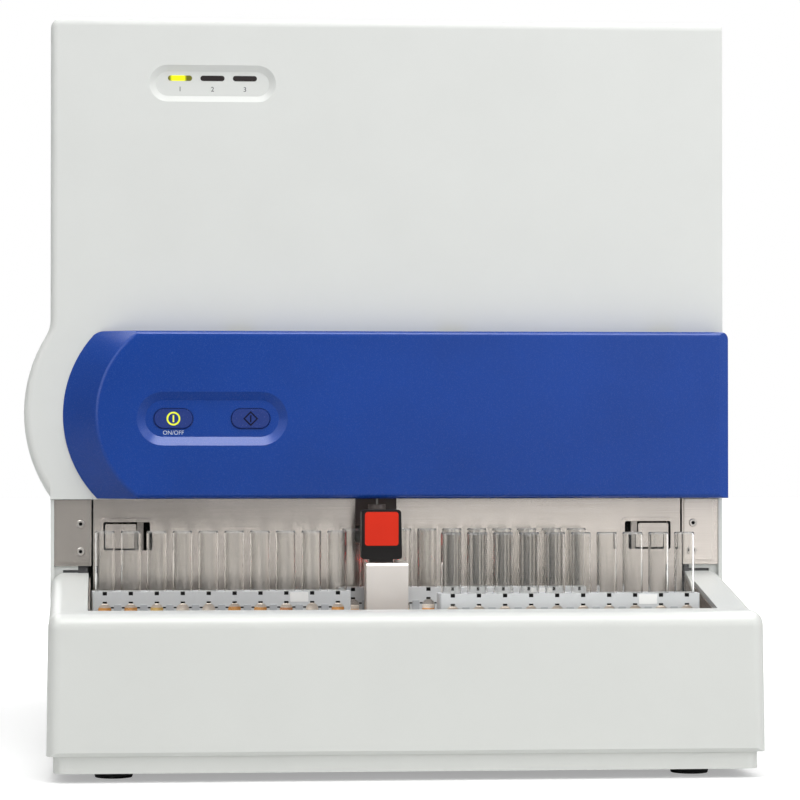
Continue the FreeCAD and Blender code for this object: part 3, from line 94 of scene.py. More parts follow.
def maths(tree, operation, *terms):
    """Output of a Math node, with a node's output or a number for each term."""
    node = tree.nodes.new("ShaderNodeMath")
    node.operation = operation
    for socket, term in zip(node.inputs, terms):
        if isinstance(term, (int, float)):
            socket.default_value = term
        else:
            tree.links.new(term, socket)
    return node.outputs[0]


def rescaled(tree, source, before, after):
    """Source taken from the range before to the range after, and kept within it."""
    scale = tree.nodes.new("ShaderNodeMapRange")
    for socket, value in zip(("From Min", "From Max", "To Min", "To Max"), (*before, *after)):
        scale.inputs[socket].default_value = value
    tree.links.new(source, scale.inputs["Value"])
    return scale.outputs["Result"]


def new_material(name, roughness, **settings):
    """Material with a Principled shader, and what is the same all over set on its sockets."""
    material = bpy.data.materials.new(name)
    material.use_nodes = True
    tree = material.node_tree
    shader = tree.nodes["Principled BSDF"]
    shader.inputs["Roughness"].default_value = roughness
    for socket, value in settings.items():
        shader.inputs[socket.replace("_", " ")].default_value = value
    return material, tree, shader


def pattern(tree, scale, stretch=(1, 1, 1), detail=3.0):
    """Noise over the surface, in periods per metre, drawn out by the stretch."""
    place = tree.nodes.new("ShaderNodeTexCoord")
    mapping = tree.nodes.new("ShaderNodeMapping")
    mapping.inputs["Scale"].default_value = [scale * share for share in stretch]
    texture = tree.nodes.new("ShaderNodeTexNoise")
    texture.inputs["Scale"].default_value = 1.0
    texture.inputs["Detail"].default_value = detail
    tree.links.new(place.outputs["Object"], mapping.inputs["Vector"])
    tree.links.new(mapping.outputs["Vector"], texture.inputs["Vector"])
    return texture.outputs[0]


def tones(tree, source, dark, light, low=PATTERN_LOW, high=PATTERN_HIGH):
    """Colour that goes from dark to light with the pattern."""
    ramp = tree.nodes.new("ShaderNodeValToRGB")
    ramp.color_ramp.elements[0].position = low
    ramp.color_ramp.elements[1].position = high
    ramp.color_ramp.elements[0].color = (*dark, 1)
    ramp.color_ramp.elements[1].color = (*light, 1)
    tree.links.new(source, ramp.inputs[0])
    return ramp.outputs[0]


def uneven(tree, shader, source, roughness, share):
    """Roughness that varies by a share either way with the pattern."""
    after = (roughness * (1 - share), roughness * (1 + share))
    varied = rescaled(tree, source, (PATTERN_LOW, PATTERN_HIGH), after)
    tree.links.new(varied, shader.inputs["Roughness"])


def relief(tree, shader, source, depth, edge=0.0):
    """Bump of the given depth in metres, over edges softened by a radius."""
    bump = tree.nodes.new("ShaderNodeBump")
    bump.inputs["Strength"].default_value = 1.0
    bump.inputs["Distance"].default_value = depth
    tree.links.new(source, bump.inputs["Height"])
    if edge:
        soft = tree.nodes.new("ShaderNodeBevel")
        soft.samples = EDGE_SAMPLES
        soft.inputs["Radius"].default_value = edge
        tree.links.new(soft.outputs["Normal"], bump.inputs["Normal"])
    tree.links.new(bump.outputs["Normal"], shader.inputs["Normal"])


def shaded(color, share):
    return tuple(min(1.0, value * share) for value in color)


def moulded(name, color, roughness, tone=0.02, grain=900, depth=6e-6, edge=0.0, **settings):
    """Moulded or painted surface: slight blotches, uneven gloss and a fine grain."""
    material, tree, shader = new_material(name, roughness, **settings)
    cloud = pattern(tree, BLOTCHES)
    surface = tones(tree, cloud, shaded(color, 1 - tone), shaded(color, 1 + tone))
    tree.links.new(surface, shader.inputs["Base Color"])
    fine = pattern(tree, grain)
    uneven(tree, shader, fine, roughness, MOULDED_UNEVEN)
    relief(tree, shader, fine, depth, edge)
    return material


def brushed(name, color, roughness, along, tone=0.10, depth=5e-6, edge=0.0, base=None, **settings):
    """Steel brushed along one axis, with faint smudges across the brushing."""
    material, tree, shader = new_material(name, roughness, Metallic=1.0, **settings)
    stretch = [1.0, 1.0, 1.0]
    stretch[along] = BRUSH_STRETCH
    lines = pattern(tree, BRUSH_LINES, stretch, BRUSH_DETAIL)
    smudge_stretch = [1.0, 1.0, 1.0]
    smudge_stretch[(along + 2) % 3] = SMUDGE_STRETCH
    smudge = pattern(tree, SMUDGES, smudge_stretch)
    both = maths(tree, "MULTIPLY_ADD", lines, 0.5, maths(tree, "MULTIPLY", smudge, 0.5))
    surface = tones(tree, both, shaded(color, 1 - tone), shaded(color, 1 + tone), *BRUSH_TONES)
    if base:
        surface = base(tree, surface)
    tree.links.new(surface, shader.inputs["Base Color"])
    uneven(tree, shader, smudge, roughness, BRUSHED_UNEVEN)
    if shader.inputs["Anisotropic"].default_value:
        across = [0.0, 0.0, 0.0]
        across[(along + 2) % 3] = 1.0
        direction = tree.nodes.new("ShaderNodeCombineXYZ")
        for socket, value in zip(direction.inputs, across):
            socket.default_value = value
        tree.links.new(direction.outputs[0], shader.inputs["Tangent"])
    relief(tree, shader, lines, depth, edge)
    return material


def node_share(tree, axis):
    """Position between the low and the high end of the node's own box, from 0 to 1."""
    place = tree.nodes.new("ShaderNodeTexCoord")
    parts = tree.nodes.new("ShaderNodeSeparateXYZ")
    tree.links.new(place.outputs["Generated"], parts.inputs[0])
    return parts.outputs[axis]


def between(tree, source, low, high):
    """1 where the source lies between two values, 0 elsewhere."""
    return maths(tree, "COMPARE", source, (low + high) / 2, (high - low) / 2)


# front part of a latch that is its thumb plate, as a share of its depth; how much steel shows on
# its carrier's strip next to the plate, the rest of the strip being painted shade; and the
# carrier's black, which is painted shade where the latch's window shows only a shadowed gap
LATCH_PLATE = (-0.1, 0.2)
STRIP_SHARE = 0.55
CARRIER_PAINTED_SHADE = (0.004, 0.004, 0.004, 1)


def latch_with_painted_shade(strip):
    """Steel on the thumb plate, steel darkened by painted shade on a strip of the carrier, and
    black painted shade on the rest of the carrier.
    """

    def paint(tree, steel):
        plate = between(tree, node_share(tree, 1), *LATCH_PLATE)
        band = between(tree, node_share(tree, 0), *strip)
        mix = tree.nodes.new("ShaderNodeMix")
        mix.data_type = "RGBA"
        # where the steel doesn't show, the carrier is black painted shade for the shadowed gap in
        # the latch's window
        shown = maths(tree, "MAXIMUM", plate, maths(tree, "MULTIPLY", band, STRIP_SHARE))
        tree.links.new(shown, mix.inputs["Factor"])
        mix.inputs[6].default_value = CARRIER_PAINTED_SHADE
        tree.links.new(steel, mix.inputs[7])
        return mix.outputs[2]

    return paint


def clear(name, color, roughness, ior, through=1.0, streaks=0.03, scale=120, glow=0.0):
    """Glass or liquid with upright streaks, so that it isn't a perfect optic."""
    material, tree, shader = new_material(name, roughness, Transmission_Weight=through, IOR=ior)
    streak = pattern(tree, scale, (1, 1, STREAK_STRETCH))
    surface = tones(tree, streak, shaded(color, 1 - streaks), color)
    tree.links.new(surface, shader.inputs["Base Color"])
    # painted light: liquids that glow though they are no lamp
    if glow:
        shader.inputs["Emission Strength"].default_value = glow
        tree.links.new(surface, shader.inputs["Emission Color"])
    after = (roughness, roughness * 2)
    varied = rescaled(tree, streak, (PATTERN_LOW, PATTERN_HIGH), after)
    tree.links.new(varied, shader.inputs["Roughness"])
    return material


# where a light guide is brightest, from its left end, and how far from there it turns dim
GLOW_CENTRE = 0.42
GLOW_FADE = (0.22, 0.36)
GLOW_ROUGHNESS = 0.3


def glowing(name, edge_color, color, strength):
    """Light guide with a lamp behind it, brightest left of its middle and dim at its ends."""
    material, tree, shader = new_material(name, GLOW_ROUGHNESS, Emission_Strength=strength)
    away = maths(tree, "SUBTRACT", node_share(tree, 0), GLOW_CENTRE)
    shade = tones(tree, maths(tree, "ABSOLUTE", away), color, edge_color, *GLOW_FADE)
    tree.links.new(shade, shader.inputs["Base Color"])
    tree.links.new(shade, shader.inputs["Emission Color"])
    return material


# ---- materials ----
WHITE = srgb(222, 224, 221)
BLUE = srgb(12, 63, 151)
STEEL = (0.51, 0.468, 0.43)
# darker copy of the steel: painted shade on the left bracket
SHADED_STEEL = (0.455, 0.42, 0.385)
GLASS_IOR = 1.24
# what the four samples share; their glow is painted light, which lets them show in the shaded
# windows of the racks
SAMPLE_LIQUID = {"roughness": 0.12, "ior": 1.34, "through": 0.0, "glow": 0.3}
M = {
    "cover_white": moulded(
        "cover_white", WHITE, 0.5, tone=0.012, grain=1400, depth=8e-6, Specular_IOR_Level=0.3
    ),
    "tray_white": moulded(
        "tray_white", srgb(221, 223, 219), 0.36, tone=0.012, grain=900, depth=3e-6,
        Specular_IOR_Level=0.4,
    ),
    "door_blue": moulded(
        "door_blue", BLUE, 0.26, tone=0.05, grain=1600, depth=3e-6, Specular_IOR_Level=0.34
    ),
    "button_blue": moulded("button_blue", srgb(22, 52, 128), 0.25, tone=0.04, depth=2e-6),
    "brushed_steel": brushed("brushed_steel", STEEL, 0.23, 0, edge=3e-4, Anisotropic=0.85),
    "latch_left": brushed(
        "latch_left", STEEL, 0.27, 0, edge=2e-4, base=latch_with_painted_shade((0.69, 0.83)), Anisotropic=0.85
    ),
    "latch_right": brushed(
        "latch_right", STEEL, 0.27, 0, edge=2e-4, base=latch_with_painted_shade((0.17, 0.31)), Anisotropic=0.85
    ),
    # darker copy of the steel, painted shade for the left bracket
    "painted_shade_bracket": brushed("painted_shade_bracket", SHADED_STEEL, 0.27, 0, edge=3e-4, Anisotropic=0.85),
    "post_steel": moulded(
        "post_steel", (0.74, 0.70, 0.66), 0.42, tone=0.06, grain=800, depth=1.2e-5,
        edge=3e-4, Metallic=1.0,
    ),
    # lighter copy of the steel: painted light on the right bracket
    "painted_light_bracket": brushed(
        "painted_light_bracket", shaded(STEEL, 1.16), 0.27, 0, edge=3e-4, Anisotropic=0.85,
    ),
    "screw_steel": moulded(
        "screw_steel", (0.52, 0.49, 0.46), 0.3, tone=0.1, grain=900, depth=4e-6,
        edge=1.5e-4, Metallic=1.0,
    ),
    "frame_steel": moulded(
        "frame_steel", (0.10, 0.10, 0.105), 0.5, grain=700, depth=1e-5, edge=6e-4,
    ),
    "bare_steel": brushed("bare_steel", (0.56, 0.55, 0.53), 0.28, 1, edge=2e-4),
    # steel darkened to stand for the probe's shade: painted shade
    "probe_painted_shade": moulded(
        "probe_painted_shade", (0.20, 0.19, 0.18), 0.45, tone=0.1, grain=900, depth=4e-6, Metallic=1.0,
    ),
    # dark brownish grey of the shadowed slot at the wash well: painted shade
    "well_painted_shade": moulded("well_painted_shade", srgb(92, 82, 78), 0.5, tone=0.1, grain=900),
    "black_plastic": moulded(
        "black_plastic", srgb(20, 18, 18), 0.45, tone=0.2, grain=1200, edge=3e-4,
        Specular_IOR_Level=0.2,
    ),
    # black of the printed ticks, also used as painted shade in the racks' notches and in screw
    # sockets
    "black_print_and_painted_shade": moulded(
        "black_print_and_painted_shade", srgb(14, 13, 13), 0.6, tone=0.2, grain=1200, Specular_IOR_Level=0.1
    ),
    "label_orange": moulded(
        "label_orange", srgb(232, 50, 26), 0.42, tone=0.04, grain=600, depth=2e-6,
        Specular_IOR_Level=0.2,
    ),
    "dark_glass": moulded("dark_glass", srgb(60, 6, 6), 0.08, tone=0.3, depth=1e-6),
    "rack_grey": moulded("rack_grey", srgb(214, 216, 217), 0.42, tone=0.02, grain=1200, edge=3e-4),
    "rack_shade": moulded("rack_shade", srgb(186, 189, 192), 0.5, tone=0.03, grain=1200),
    "label_white": moulded(
        "label_white", srgb(250, 250, 248), 0.6, tone=0.01, grain=1800, depth=2e-6,
    ),
    "lens": moulded("lens", srgb(44, 38, 38), 0.16, tone=0.1, grain=400, depth=2e-6),
    "circuit": moulded("circuit", (0.015, 0.12, 0.05), 0.35, tone=0.3, grain=500, depth=2e-5),
    "rubber": moulded("rubber", (0.02, 0.02, 0.021), 0.75, tone=0.2, grain=700, depth=2e-5),
    "aluminium": brushed("aluminium", (0.66, 0.66, 0.67), 0.33, 0, tone=0.04, edge=3e-4),
    "zinc": moulded(
        "zinc", (0.45, 0.46, 0.47), 0.36, tone=0.12, grain=300, depth=4e-6, Metallic=1.0,
    ),
    "cream": moulded("cream", srgb(214, 210, 196), 0.45, tone=0.03),
    "mark_lit": glowing("mark_lit", srgb(222, 230, 46), srgb(226, 234, 60), 0.35),
    "mark_dark": moulded(
        "mark_dark", srgb(8, 16, 44), 0.6, tone=0.1, grain=1500, depth=1e-6, Specular_IOR_Level=0.1
    ),
    "mark_white": moulded(
        "mark_white", srgb(206, 214, 226), 0.5, tone=0.03, grain=1500, depth=1e-6,
    ),
    "print_dark": moulded("print_dark", srgb(52, 54, 56), 0.6, tone=0.06, grain=1500, depth=1e-6),
    "tube_glass": clear(
        "tube_glass", (0.97, 0.97, 0.96), 0.004, GLASS_IOR, streaks=0.09, scale=420,
    ),
    # whitish share in the rim's glass, so that it shows bright: painted highlight
    "rim_painted_highlight": clear("rim_painted_highlight", (0.9, 0.91, 0.91), 0.05, GLASS_IOR, through=0.9),
    "tube_foot": clear("tube_foot", (0.94, 0.92, 0.90), 0.05, GLASS_IOR, through=0.85),
    "amber": clear("amber", srgb(252, 178, 44), streaks=0.1, **SAMPLE_LIQUID),
    "straw": clear("straw", srgb(253, 214, 110), streaks=0.1, **SAMPLE_LIQUID),
    "brown": clear("brown", srgb(238, 158, 64), streaks=0.1, **SAMPLE_LIQUID),
    # pale samples, and the painted light on top of every sample
    "pale": clear("pale", srgb(252, 242, 230), streaks=0.05, **SAMPLE_LIQUID),
    "lit_lens": glowing("lit_lens", srgb(88, 88, 14), srgb(228, 232, 14), 0.6),
}
NODE_FINISH = {
    "cover_white": (
        "left_side_panel", "right_side_panel", "top_cover", "rear_panel", "front_cover",
    ),
    "tray_white": ("plinth", "tray_cover"),
    "door_blue": ("front_door",),
    "button_blue": ("power_button", "start_button"),
    "brushed_steel": ("tray_liner", "station_panel"),
    "painted_shade_bracket": ("left_bracket",),
    "painted_light_bracket": ("right_bracket",),
    "latch_left": ("latch_left",),
    "latch_right": ("latch_right",),
    "post_steel": ("reader_post",),
    "screw_steel": ("bracket_screws",),
    "frame_steel": ("chassis_frame",),
    "bare_steel": ("latch_guides", "hinge_pins"),
    "probe_painted_shade": ("sample_probe",),
    "well_painted_shade": ("wash_well",),
    "black_plastic": (
        "reader_housing", "hinge_brackets", "strobe_lamp", "camera", "pump_body",
        "fan_housing", "fan_rotor", "power_entry", "rocker_switch",
    ),
    "label_orange": ("reader_label",),
    "dark_glass": ("reader_window",),
    "rack_grey": ("rack_left", "rack_right", "rack_rear"),
    "circuit": ("status_board", "button_board", "main_board"),
    "rubber": ("feet",),
    "aluminium": ("probe_column", "probe_carriage", "optics_bench", "flow_cell", "objective"),
    "zinc": ("base_plate", "equipment_shelf", "power_supply"),
    "cream": ("pump_rotor", "fluid_ports"),
}


def paint_nodes():
    for finish, names in NODE_FINISH.items():
        for name in names:
            for place in frame["nodes"][name].material_slots:
                place.material = M[finish]


# ---- mesh building blocks ----
def rounded(centre, size, radius, steps=5):
    """Points round an upright rectangle with rounded corners, as (x, z)."""
    points = []
    for corner, (across, up) in enumerate(((1, 1), (-1, 1), (-1, -1), (1, -1))):
        x = centre[0] + across * (size[0] / 2 - radius)
        z = centre[1] + up * (size[1] / 2 - radius)
        for step in range(steps + 1):
            angle = math.radians(90 * (corner + step / steps))
            points.append((x + radius * math.cos(angle), z + radius * math.sin(angle)))
    return points


def circle(centre, radius, steps=40):
    points = []
    for step in range(steps):
        angle = math.tau * step / steps
        points.append((centre[0] + radius * math.cos(angle), centre[1] + radius * math.sin(angle)))
    return points


def close_loops(bm, loops, ring=False):
    """Walls between neighbouring loops of vertices, and caps on the ends unless it is a ring."""
    pairs = list(zip(loops, loops[1:]))
    if ring:
        pairs.append((loops[-1], loops[0]))
    for first, second in pairs:
        for i in range(len(first)):
            j = (i + 1) % len(first)
            bm.faces.new((first[i], first[j], second[j], second[i]))
    if not ring:
        bm.faces.new(loops[0])
        bm.faces.new(list(reversed(loops[-1])))


def add_slab(bm, points, front, back):
    """Prism with an upright outline, from its front face back."""
    close_loops(bm, [[bm.verts.new((x, y, z)) for x, z in points] for y in (front, back)])


def add_frame(bm, outer, inner, front, back):
    """Prism between two upright outlines that have as many points."""
    loops = [
        [bm.verts.new((x, y, z)) for x, z in points]
        for points, y in ((outer, front), (inner, front), (inner, back), (outer, back))
    ]
    close_loops(bm, loops, ring=True)


def add_lathe(bm, profile, centre, steps=36):
    """Closed solid turned about the upright line through centre, from (radius, height) points."""
    loops = []
    for radius, height in profile:
        loops.append(
            [
                bm.verts.new(
                    (
                        centre.x + radius * math.cos(math.tau * i / steps),
                        centre.y + radius * math.sin(math.tau * i / steps),
                        centre.z + height,
                    )
                )
                for i in range(steps)
            ]
        )
    close_loops(bm, loops)


def piece(name, bm, materials, body, replaces=(), edge=0.0, smooth_under=35):
    """Object from a bmesh, riding on a body, with small rounded edges where asked."""
    bmesh.ops.recalc_face_normals(bm, faces=bm.faces)
    limit = math.radians(smooth_under)
    for side in bm.edges:
        side.smooth = side.calc_face_angle(0.0) < limit
    for face in bm.faces:
        face.smooth = True
    mesh = bpy.data.meshes.new(name)
    bm.to_mesh(mesh)
    bm.free()
    for material in materials:
        mesh.materials.append(M[material])
    thing = bpy.data.objects.new(name, mesh)
    bpy.context.scene.collection.objects.link(thing)
    if edge:
        bevel = thing.modifiers.new("edges", "BEVEL")
        bevel.width = edge
        bevel.segments = 2
        bevel.limit_method = "ANGLE"
    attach(thing, body)
    if replaces:
        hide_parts(*replaces)
    return thing


# ---- tubes and samples ----
GLASS_WALL = 0.9 * MM
RIM = 1.5 * MM
SAMPLE_GAP = 0.04 * MM
# body, height of the samples, and a letter for each tube from the left
SAMPLES = {
    "tubes_left": ("output_tubes", 43.6 * MM, "aasppaabpa"),
    "tubes_right": ("input_tubes", 43.6 * MM, "assbsapsaa"),
    "tubes_rear": ("sampling_rack", 39.5 * MM, "aasapsapsa"),
}
SHADES = {"a": "amber", "s": "straw", "b": "brown", "p": "pale"}
SAMPLE_SPREAD = 0.6 * MM
# pale band on top of a sample: painted light, standing for the light in the glass above the liquid
PAINTED_LIGHT_TOP = 2.4 * MM
# how much of a tube stands in its rack
RACK_DEPTH = 53 * MM
# short rings of faces that keep the long walls' shading straight
SUPPORT = 0.4 * MM
# shares of the glass wall and of the rim's height where the rounded rim has its shoulders
SHOULDER_IN = 0.15
SHOULDER_DOWN = 0.4
# how far a sample's surface climbs at the glass
CLIMB = 0.5 * MM
# margins for telling apart the faces of the foot, of the rim and of the painted-light band by
# height: a length below the rack's edge, and shares of the rim's height and of the band's
RACK_MARGIN = 0.5 * MM
RIM_REACH = 1.1
PAINTED_LIGHT_TOP_REACH = 1.05
# least radius of a loop of vertices, where a solid ends on its axis
TIP = 1e-5


def tube_places(node):
    """Foot centres of a rack's tubes, with their radius and length."""
    low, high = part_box(node)
    radius = (high.y - low.y) / 2
    pitch = (high.x - low.x - 2 * radius) / (TUBES_IN_RACK - 1)
    y = (low.y + high.y) / 2
    feet = [Vector((low.x + radius + i * pitch, y, low.z)) for i in range(TUBES_IN_RACK)]
    return feet, radius, high.z - low.z


def round_bottom(radius, centre_height, steps=7):
    """Points up a half ball, from its foot to its widest."""
    points = []
    for step in range(steps + 1):
        angle = math.pi / 2 * step / steps
        out = max(radius * math.sin(angle), TIP)
        points.append((out, centre_height - radius * math.cos(angle)))
    return points


def glass_profile(radius, length):
    """Test tube from the middle of its round foot, up outside, over the rim and down inside."""
    inner = radius - GLASS_WALL
    rim = length - RIM
    outside = round_bottom(radius, radius)
    lip = [
        (radius, radius + SUPPORT),
        (radius, RACK_DEPTH),
        (radius, rim - SUPPORT),
        (radius, rim),
        (radius - GLASS_WALL * SHOULDER_IN, length - RIM * SHOULDER_DOWN),
        (radius - GLASS_WALL / 2, length),
        (inner + GLASS_WALL * SHOULDER_IN, length - RIM * SHOULDER_DOWN),
        (inner, rim),
        (inner, rim - SUPPORT),
        (inner, RACK_DEPTH),
        (inner, radius + SUPPORT),
    ]
    inside = list(reversed(round_bottom(inner, radius)))
    return outside + lip + inside


def sample_profile(radius, top):
    """Liquid that fills a tube up to a height, from its round foot to its middle on top."""
    inner = radius - GLASS_WALL - SAMPLE_GAP
    walls = [(inner, top - PAINTED_LIGHT_TOP), (inner, top)]
    surface = [(inner - CLIMB, top - CLIMB), (TIP, top - CLIMB)]
    return round_bottom(inner, radius) + walls + surface


def tubes():
    """Hollow glass tubes in each rack, and the samples of each shade in them, each with a pale band
    of painted light on top.
    """
    for node, (body, level, samples) in SAMPLES.items():
        feet, radius, length = tube_places(node)
        glass = bmesh.new()
        for foot in feet:
            add_lathe(glass, glass_profile(radius, length), foot)
        rim_foot = feet[0].z + length - RIM * RIM_REACH
        for face in glass.faces:
            foot = min(corner.co.z for corner in face.verts)
            if foot > rim_foot:
                face.material_index = 1
            elif foot < feet[0].z + RACK_DEPTH - RACK_MARGIN:
                face.material_index = 2
        materials = ["tube_glass", "rim_painted_highlight", "tube_foot"]
        tube = piece(node.replace("tubes", "glass"), glass, materials, body, (node,))
        tube.visible_shadow = False
        for letter, shade in SHADES.items():
            fluid = bmesh.new()
            for foot, sample in zip(feet, samples):
                if sample == letter:
                    top = level + random.uniform(-SAMPLE_SPREAD, SAMPLE_SPREAD)
                    add_lathe(fluid, sample_profile(radius, top), foot)
            # faces of the top band take the pale material: painted light
            painted_light_foot = feet[0].z + level - SAMPLE_SPREAD - PAINTED_LIGHT_TOP * PAINTED_LIGHT_TOP_REACH
            for face in fluid.faces:
                if min(corner.co.z for corner in face.verts) > painted_light_foot:
                    face.material_index = 1
            if fluid.verts:
                piece(node.replace("tubes", shade), fluid, [shade, "pale"], body)
            else:
                fluid.free()


# ---- racks ----
RACK_TICK = (2.3 * MM, 1.1 * MM)
TICK_DROP = 12.2 * MM
PANEL_SIZE = (5.6 * MM, 34 * MM)
PANEL_DROP = 10 * MM
PRINT_THICKNESS = 0.12 * MM
RACK_BODIES = {"rack_left": "output_rack", "rack_right": "input_rack", "rack_rear": "sampling_rack"}
RACK_LABEL = (14 * MM, 7.4 * MM)
LABEL_DROP = 0.7 * MM
# windows to the left of the label
LABEL_WINDOW = 8
MARK_CORNER = 0.1 * MM
MARK_THICKNESS = 1.2 * MM
PANEL_CORNER = 0.6 * MM
PANEL_RAISE = 0.5 * MM
PANEL_EDGE = 0.15 * MM
TICK_CORNER = 0.2 * MM
TICK_GAP = 0.2 * MM
# how far raised and printed details reach into the rack's face
ROOT = 0.2 * MM
LABEL_ROOT = 0.1 * MM
# black slabs of painted shade in the notches at each window's top: width, height, drop of its
# middle below the rack's top, and depth behind the rack's face
NOTCH_SHADE = (3.38 * MM, 2.7 * MM, 1.4 * MM, 0.35 * MM)
SIGHT_NOTCH_SHADE = (3.38 * MM, 1.38 * MM, 8.31 * MM, 0.35 * MM)


def rack_details():
    """Raised blocks between the windows, ticks beside them, black painted shade in the notches at
    each window's top, and a bare label on each rack.
    """
    for node, body in RACK_BODIES.items():
        low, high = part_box(node)
        pitch = (high.x - low.x) / TUBES_IN_RACK
        blocks = bmesh.new()
        ticks_and_notch_shade = bmesh.new()
        for i in range(TUBES_IN_RACK):
            # painted shade: black slabs in each window's notches
            for width, height, drop, depth in (NOTCH_SHADE, SIGHT_NOTCH_SHADE):
                spot = (low.x + (i + 0.5) * pitch, high.z - drop)
                shape = rounded(spot, (width, height), MARK_CORNER, 1)
                front = low.y + depth
                add_slab(ticks_and_notch_shade, shape, front, front + MARK_THICKNESS)
        reach = PANEL_SIZE[0] / 2 + RACK_TICK[0] / 2 + TICK_GAP
        for i in range(1, TUBES_IN_RACK):
            x = low.x + i * pitch
            centre = (x, high.z - PANEL_DROP - PANEL_SIZE[1] / 2)
            shape = rounded(centre, PANEL_SIZE, PANEL_CORNER)
            add_slab(blocks, shape, low.y - PANEL_RAISE, low.y + ROOT)
            for side in (-1, 1):
                shape = rounded((x + side * reach, high.z - TICK_DROP), RACK_TICK, TICK_CORNER, 2)
                add_slab(ticks_and_notch_shade, shape, low.y - PRINT_THICKNESS, low.y + ROOT)
        piece(node + "_blocks", blocks, ["rack_shade"], body, edge=PANEL_EDGE)
        piece(node + "_ticks_and_notch_shade", ticks_and_notch_shade, ["black_print_and_painted_shade"], body)
        label = bmesh.new()
        centre = (low.x + LABEL_WINDOW * pitch, high.z - LABEL_DROP - RACK_LABEL[1] / 2)
        shape = rounded(centre, RACK_LABEL, PANEL_CORNER)
        add_slab(label, shape, low.y - PRINT_THICKNESS, low.y + LABEL_ROOT)
        piece(node + "_label", label, ["label_white"], body)


# ---- bracket screws ----
SCREW_HEAD_RADIUS = 3.2 * MM
SOCKET_RADIUS = 1.4 * MM
SOCKET_FLOOR = (0.7 * MM, 1.05 * MM)


def screw_socket_shade():
    """Black painted shade on the floor of each screw's socket."""
    low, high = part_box("bracket_screws")
    bracket_socket_shade = bmesh.new()
    for x in (low.x + SCREW_HEAD_RADIUS, high.x - SCREW_HEAD_RADIUS):
        for z in (low.z + SCREW_HEAD_RADIUS, high.z - SCREW_HEAD_RADIUS):
            outline = circle((x, z), SOCKET_RADIUS, 12)
            add_slab(bracket_socket_shade, outline, low.y + SOCKET_FLOOR[0], low.y + SOCKET_FLOOR[1])
    piece("screw_socket_shade", bracket_socket_shade, ["black_print_and_painted_shade"], "housing")


# ---- status lights ----
LIGHT_FLANGE = 1 * MM
LIGHT_WIDTH = 19.3 * MM
LIGHT_RAISE = 0.3 * MM
LIGHT_EDGE = 0.5 * MM
# keeps a flat of almost nothing between a light's round ends, so that no points coincide
END_GAP = 1e-5
NUMBER_DROP = 8.9 * MM
NUMBER_SIZE = 5.4 * MM


def status_panel():
    """Three light guides with a plain number under each, the first one lit."""
    low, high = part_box("status_lights")
    z = (low.z + high.z) / 2
    height = high.z - low.z - 2 * LIGHT_FLANGE
    pitch = (high.x - low.x - 2 * LIGHT_FLANGE - LIGHT_WIDTH) / 2
    for number in range(3):
        light = bmesh.new()
        x = low.x + LIGHT_FLANGE + LIGHT_WIDTH / 2 + number * pitch
        outline = rounded((x, z), (LIGHT_WIDTH, height), height / 2 - END_GAP, 8)
        add_slab(light, outline, low.y - LIGHT_RAISE, high.y)
        finish = "lit_lens" if number == 0 else "lens"
        node = ("status_lights",) if number == 0 else ()
        name = f"status_light_{number + 1}"
        piece(name, light, [finish], "housing", node, edge=LIGHT_EDGE)
        lettering(
            f"status_number_{number + 1}", str(number + 1), (x, low.y, z - NUMBER_DROP),
            NUMBER_SIZE, "print_dark", "housing",
        )


def lettering(name, text, place, height, material, body, facing=0):
    """Flat printed text, centred on a place on an upright surface, turned from the front."""
    curve = bpy.data.curves.new(name, "FONT")
    curve.body = text
    curve.size = height
    curve.align_x = "CENTER"
    curve.align_y = "CENTER"
    curve.extrude = PRINT_THICKNESS / 2
    holder = bpy.data.objects.new(name + "_text", curve)
    bpy.context.scene.collection.objects.link(holder)
    holder.rotation_euler = (math.radians(90), 0, math.radians(facing))
    holder.location = place
    bpy.context.view_layer.update()
    depsgraph = bpy.context.evaluated_depsgraph_get()
    mesh = bpy.data.meshes.new_from_object(holder.evaluated_get(depsgraph))
    mesh.transform(holder.matrix_world)
    bpy.data.objects.remove(holder)
    mesh.name = name
    mesh.materials.clear()
    mesh.materials.append(M[material])
    thing = bpy.data.objects.new(name, mesh)
    bpy.context.scene.collection.objects.link(thing)
    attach(thing, body)
    return thing


# ---- rear ----
REAR_SCREW = (3 * MM, 1 * MM)
REAR_SOCKET = 1.3 * MM
# how far rear screws reach into the panel and over their sockets' floors
REAR_ROOT = 0.1 * MM
# height of the painted shade on a socket's floor, as a share of the head's
SOCKET_RISE = 0.3
SCREW_STEPS = 24
REAR_SCREW_INSET = 11 * MM
REAR_SCREWS_ACROSS = 4
REAR_SCREWS_UP = 4
REAR_SCREW_EDGE = 0.25 * MM
FAN_SCREW_REACH = 35.5 * MM
PORT_NUMBER_RISE = 11 * MM
PORT_NUMBER_SIZE = 8 * MM


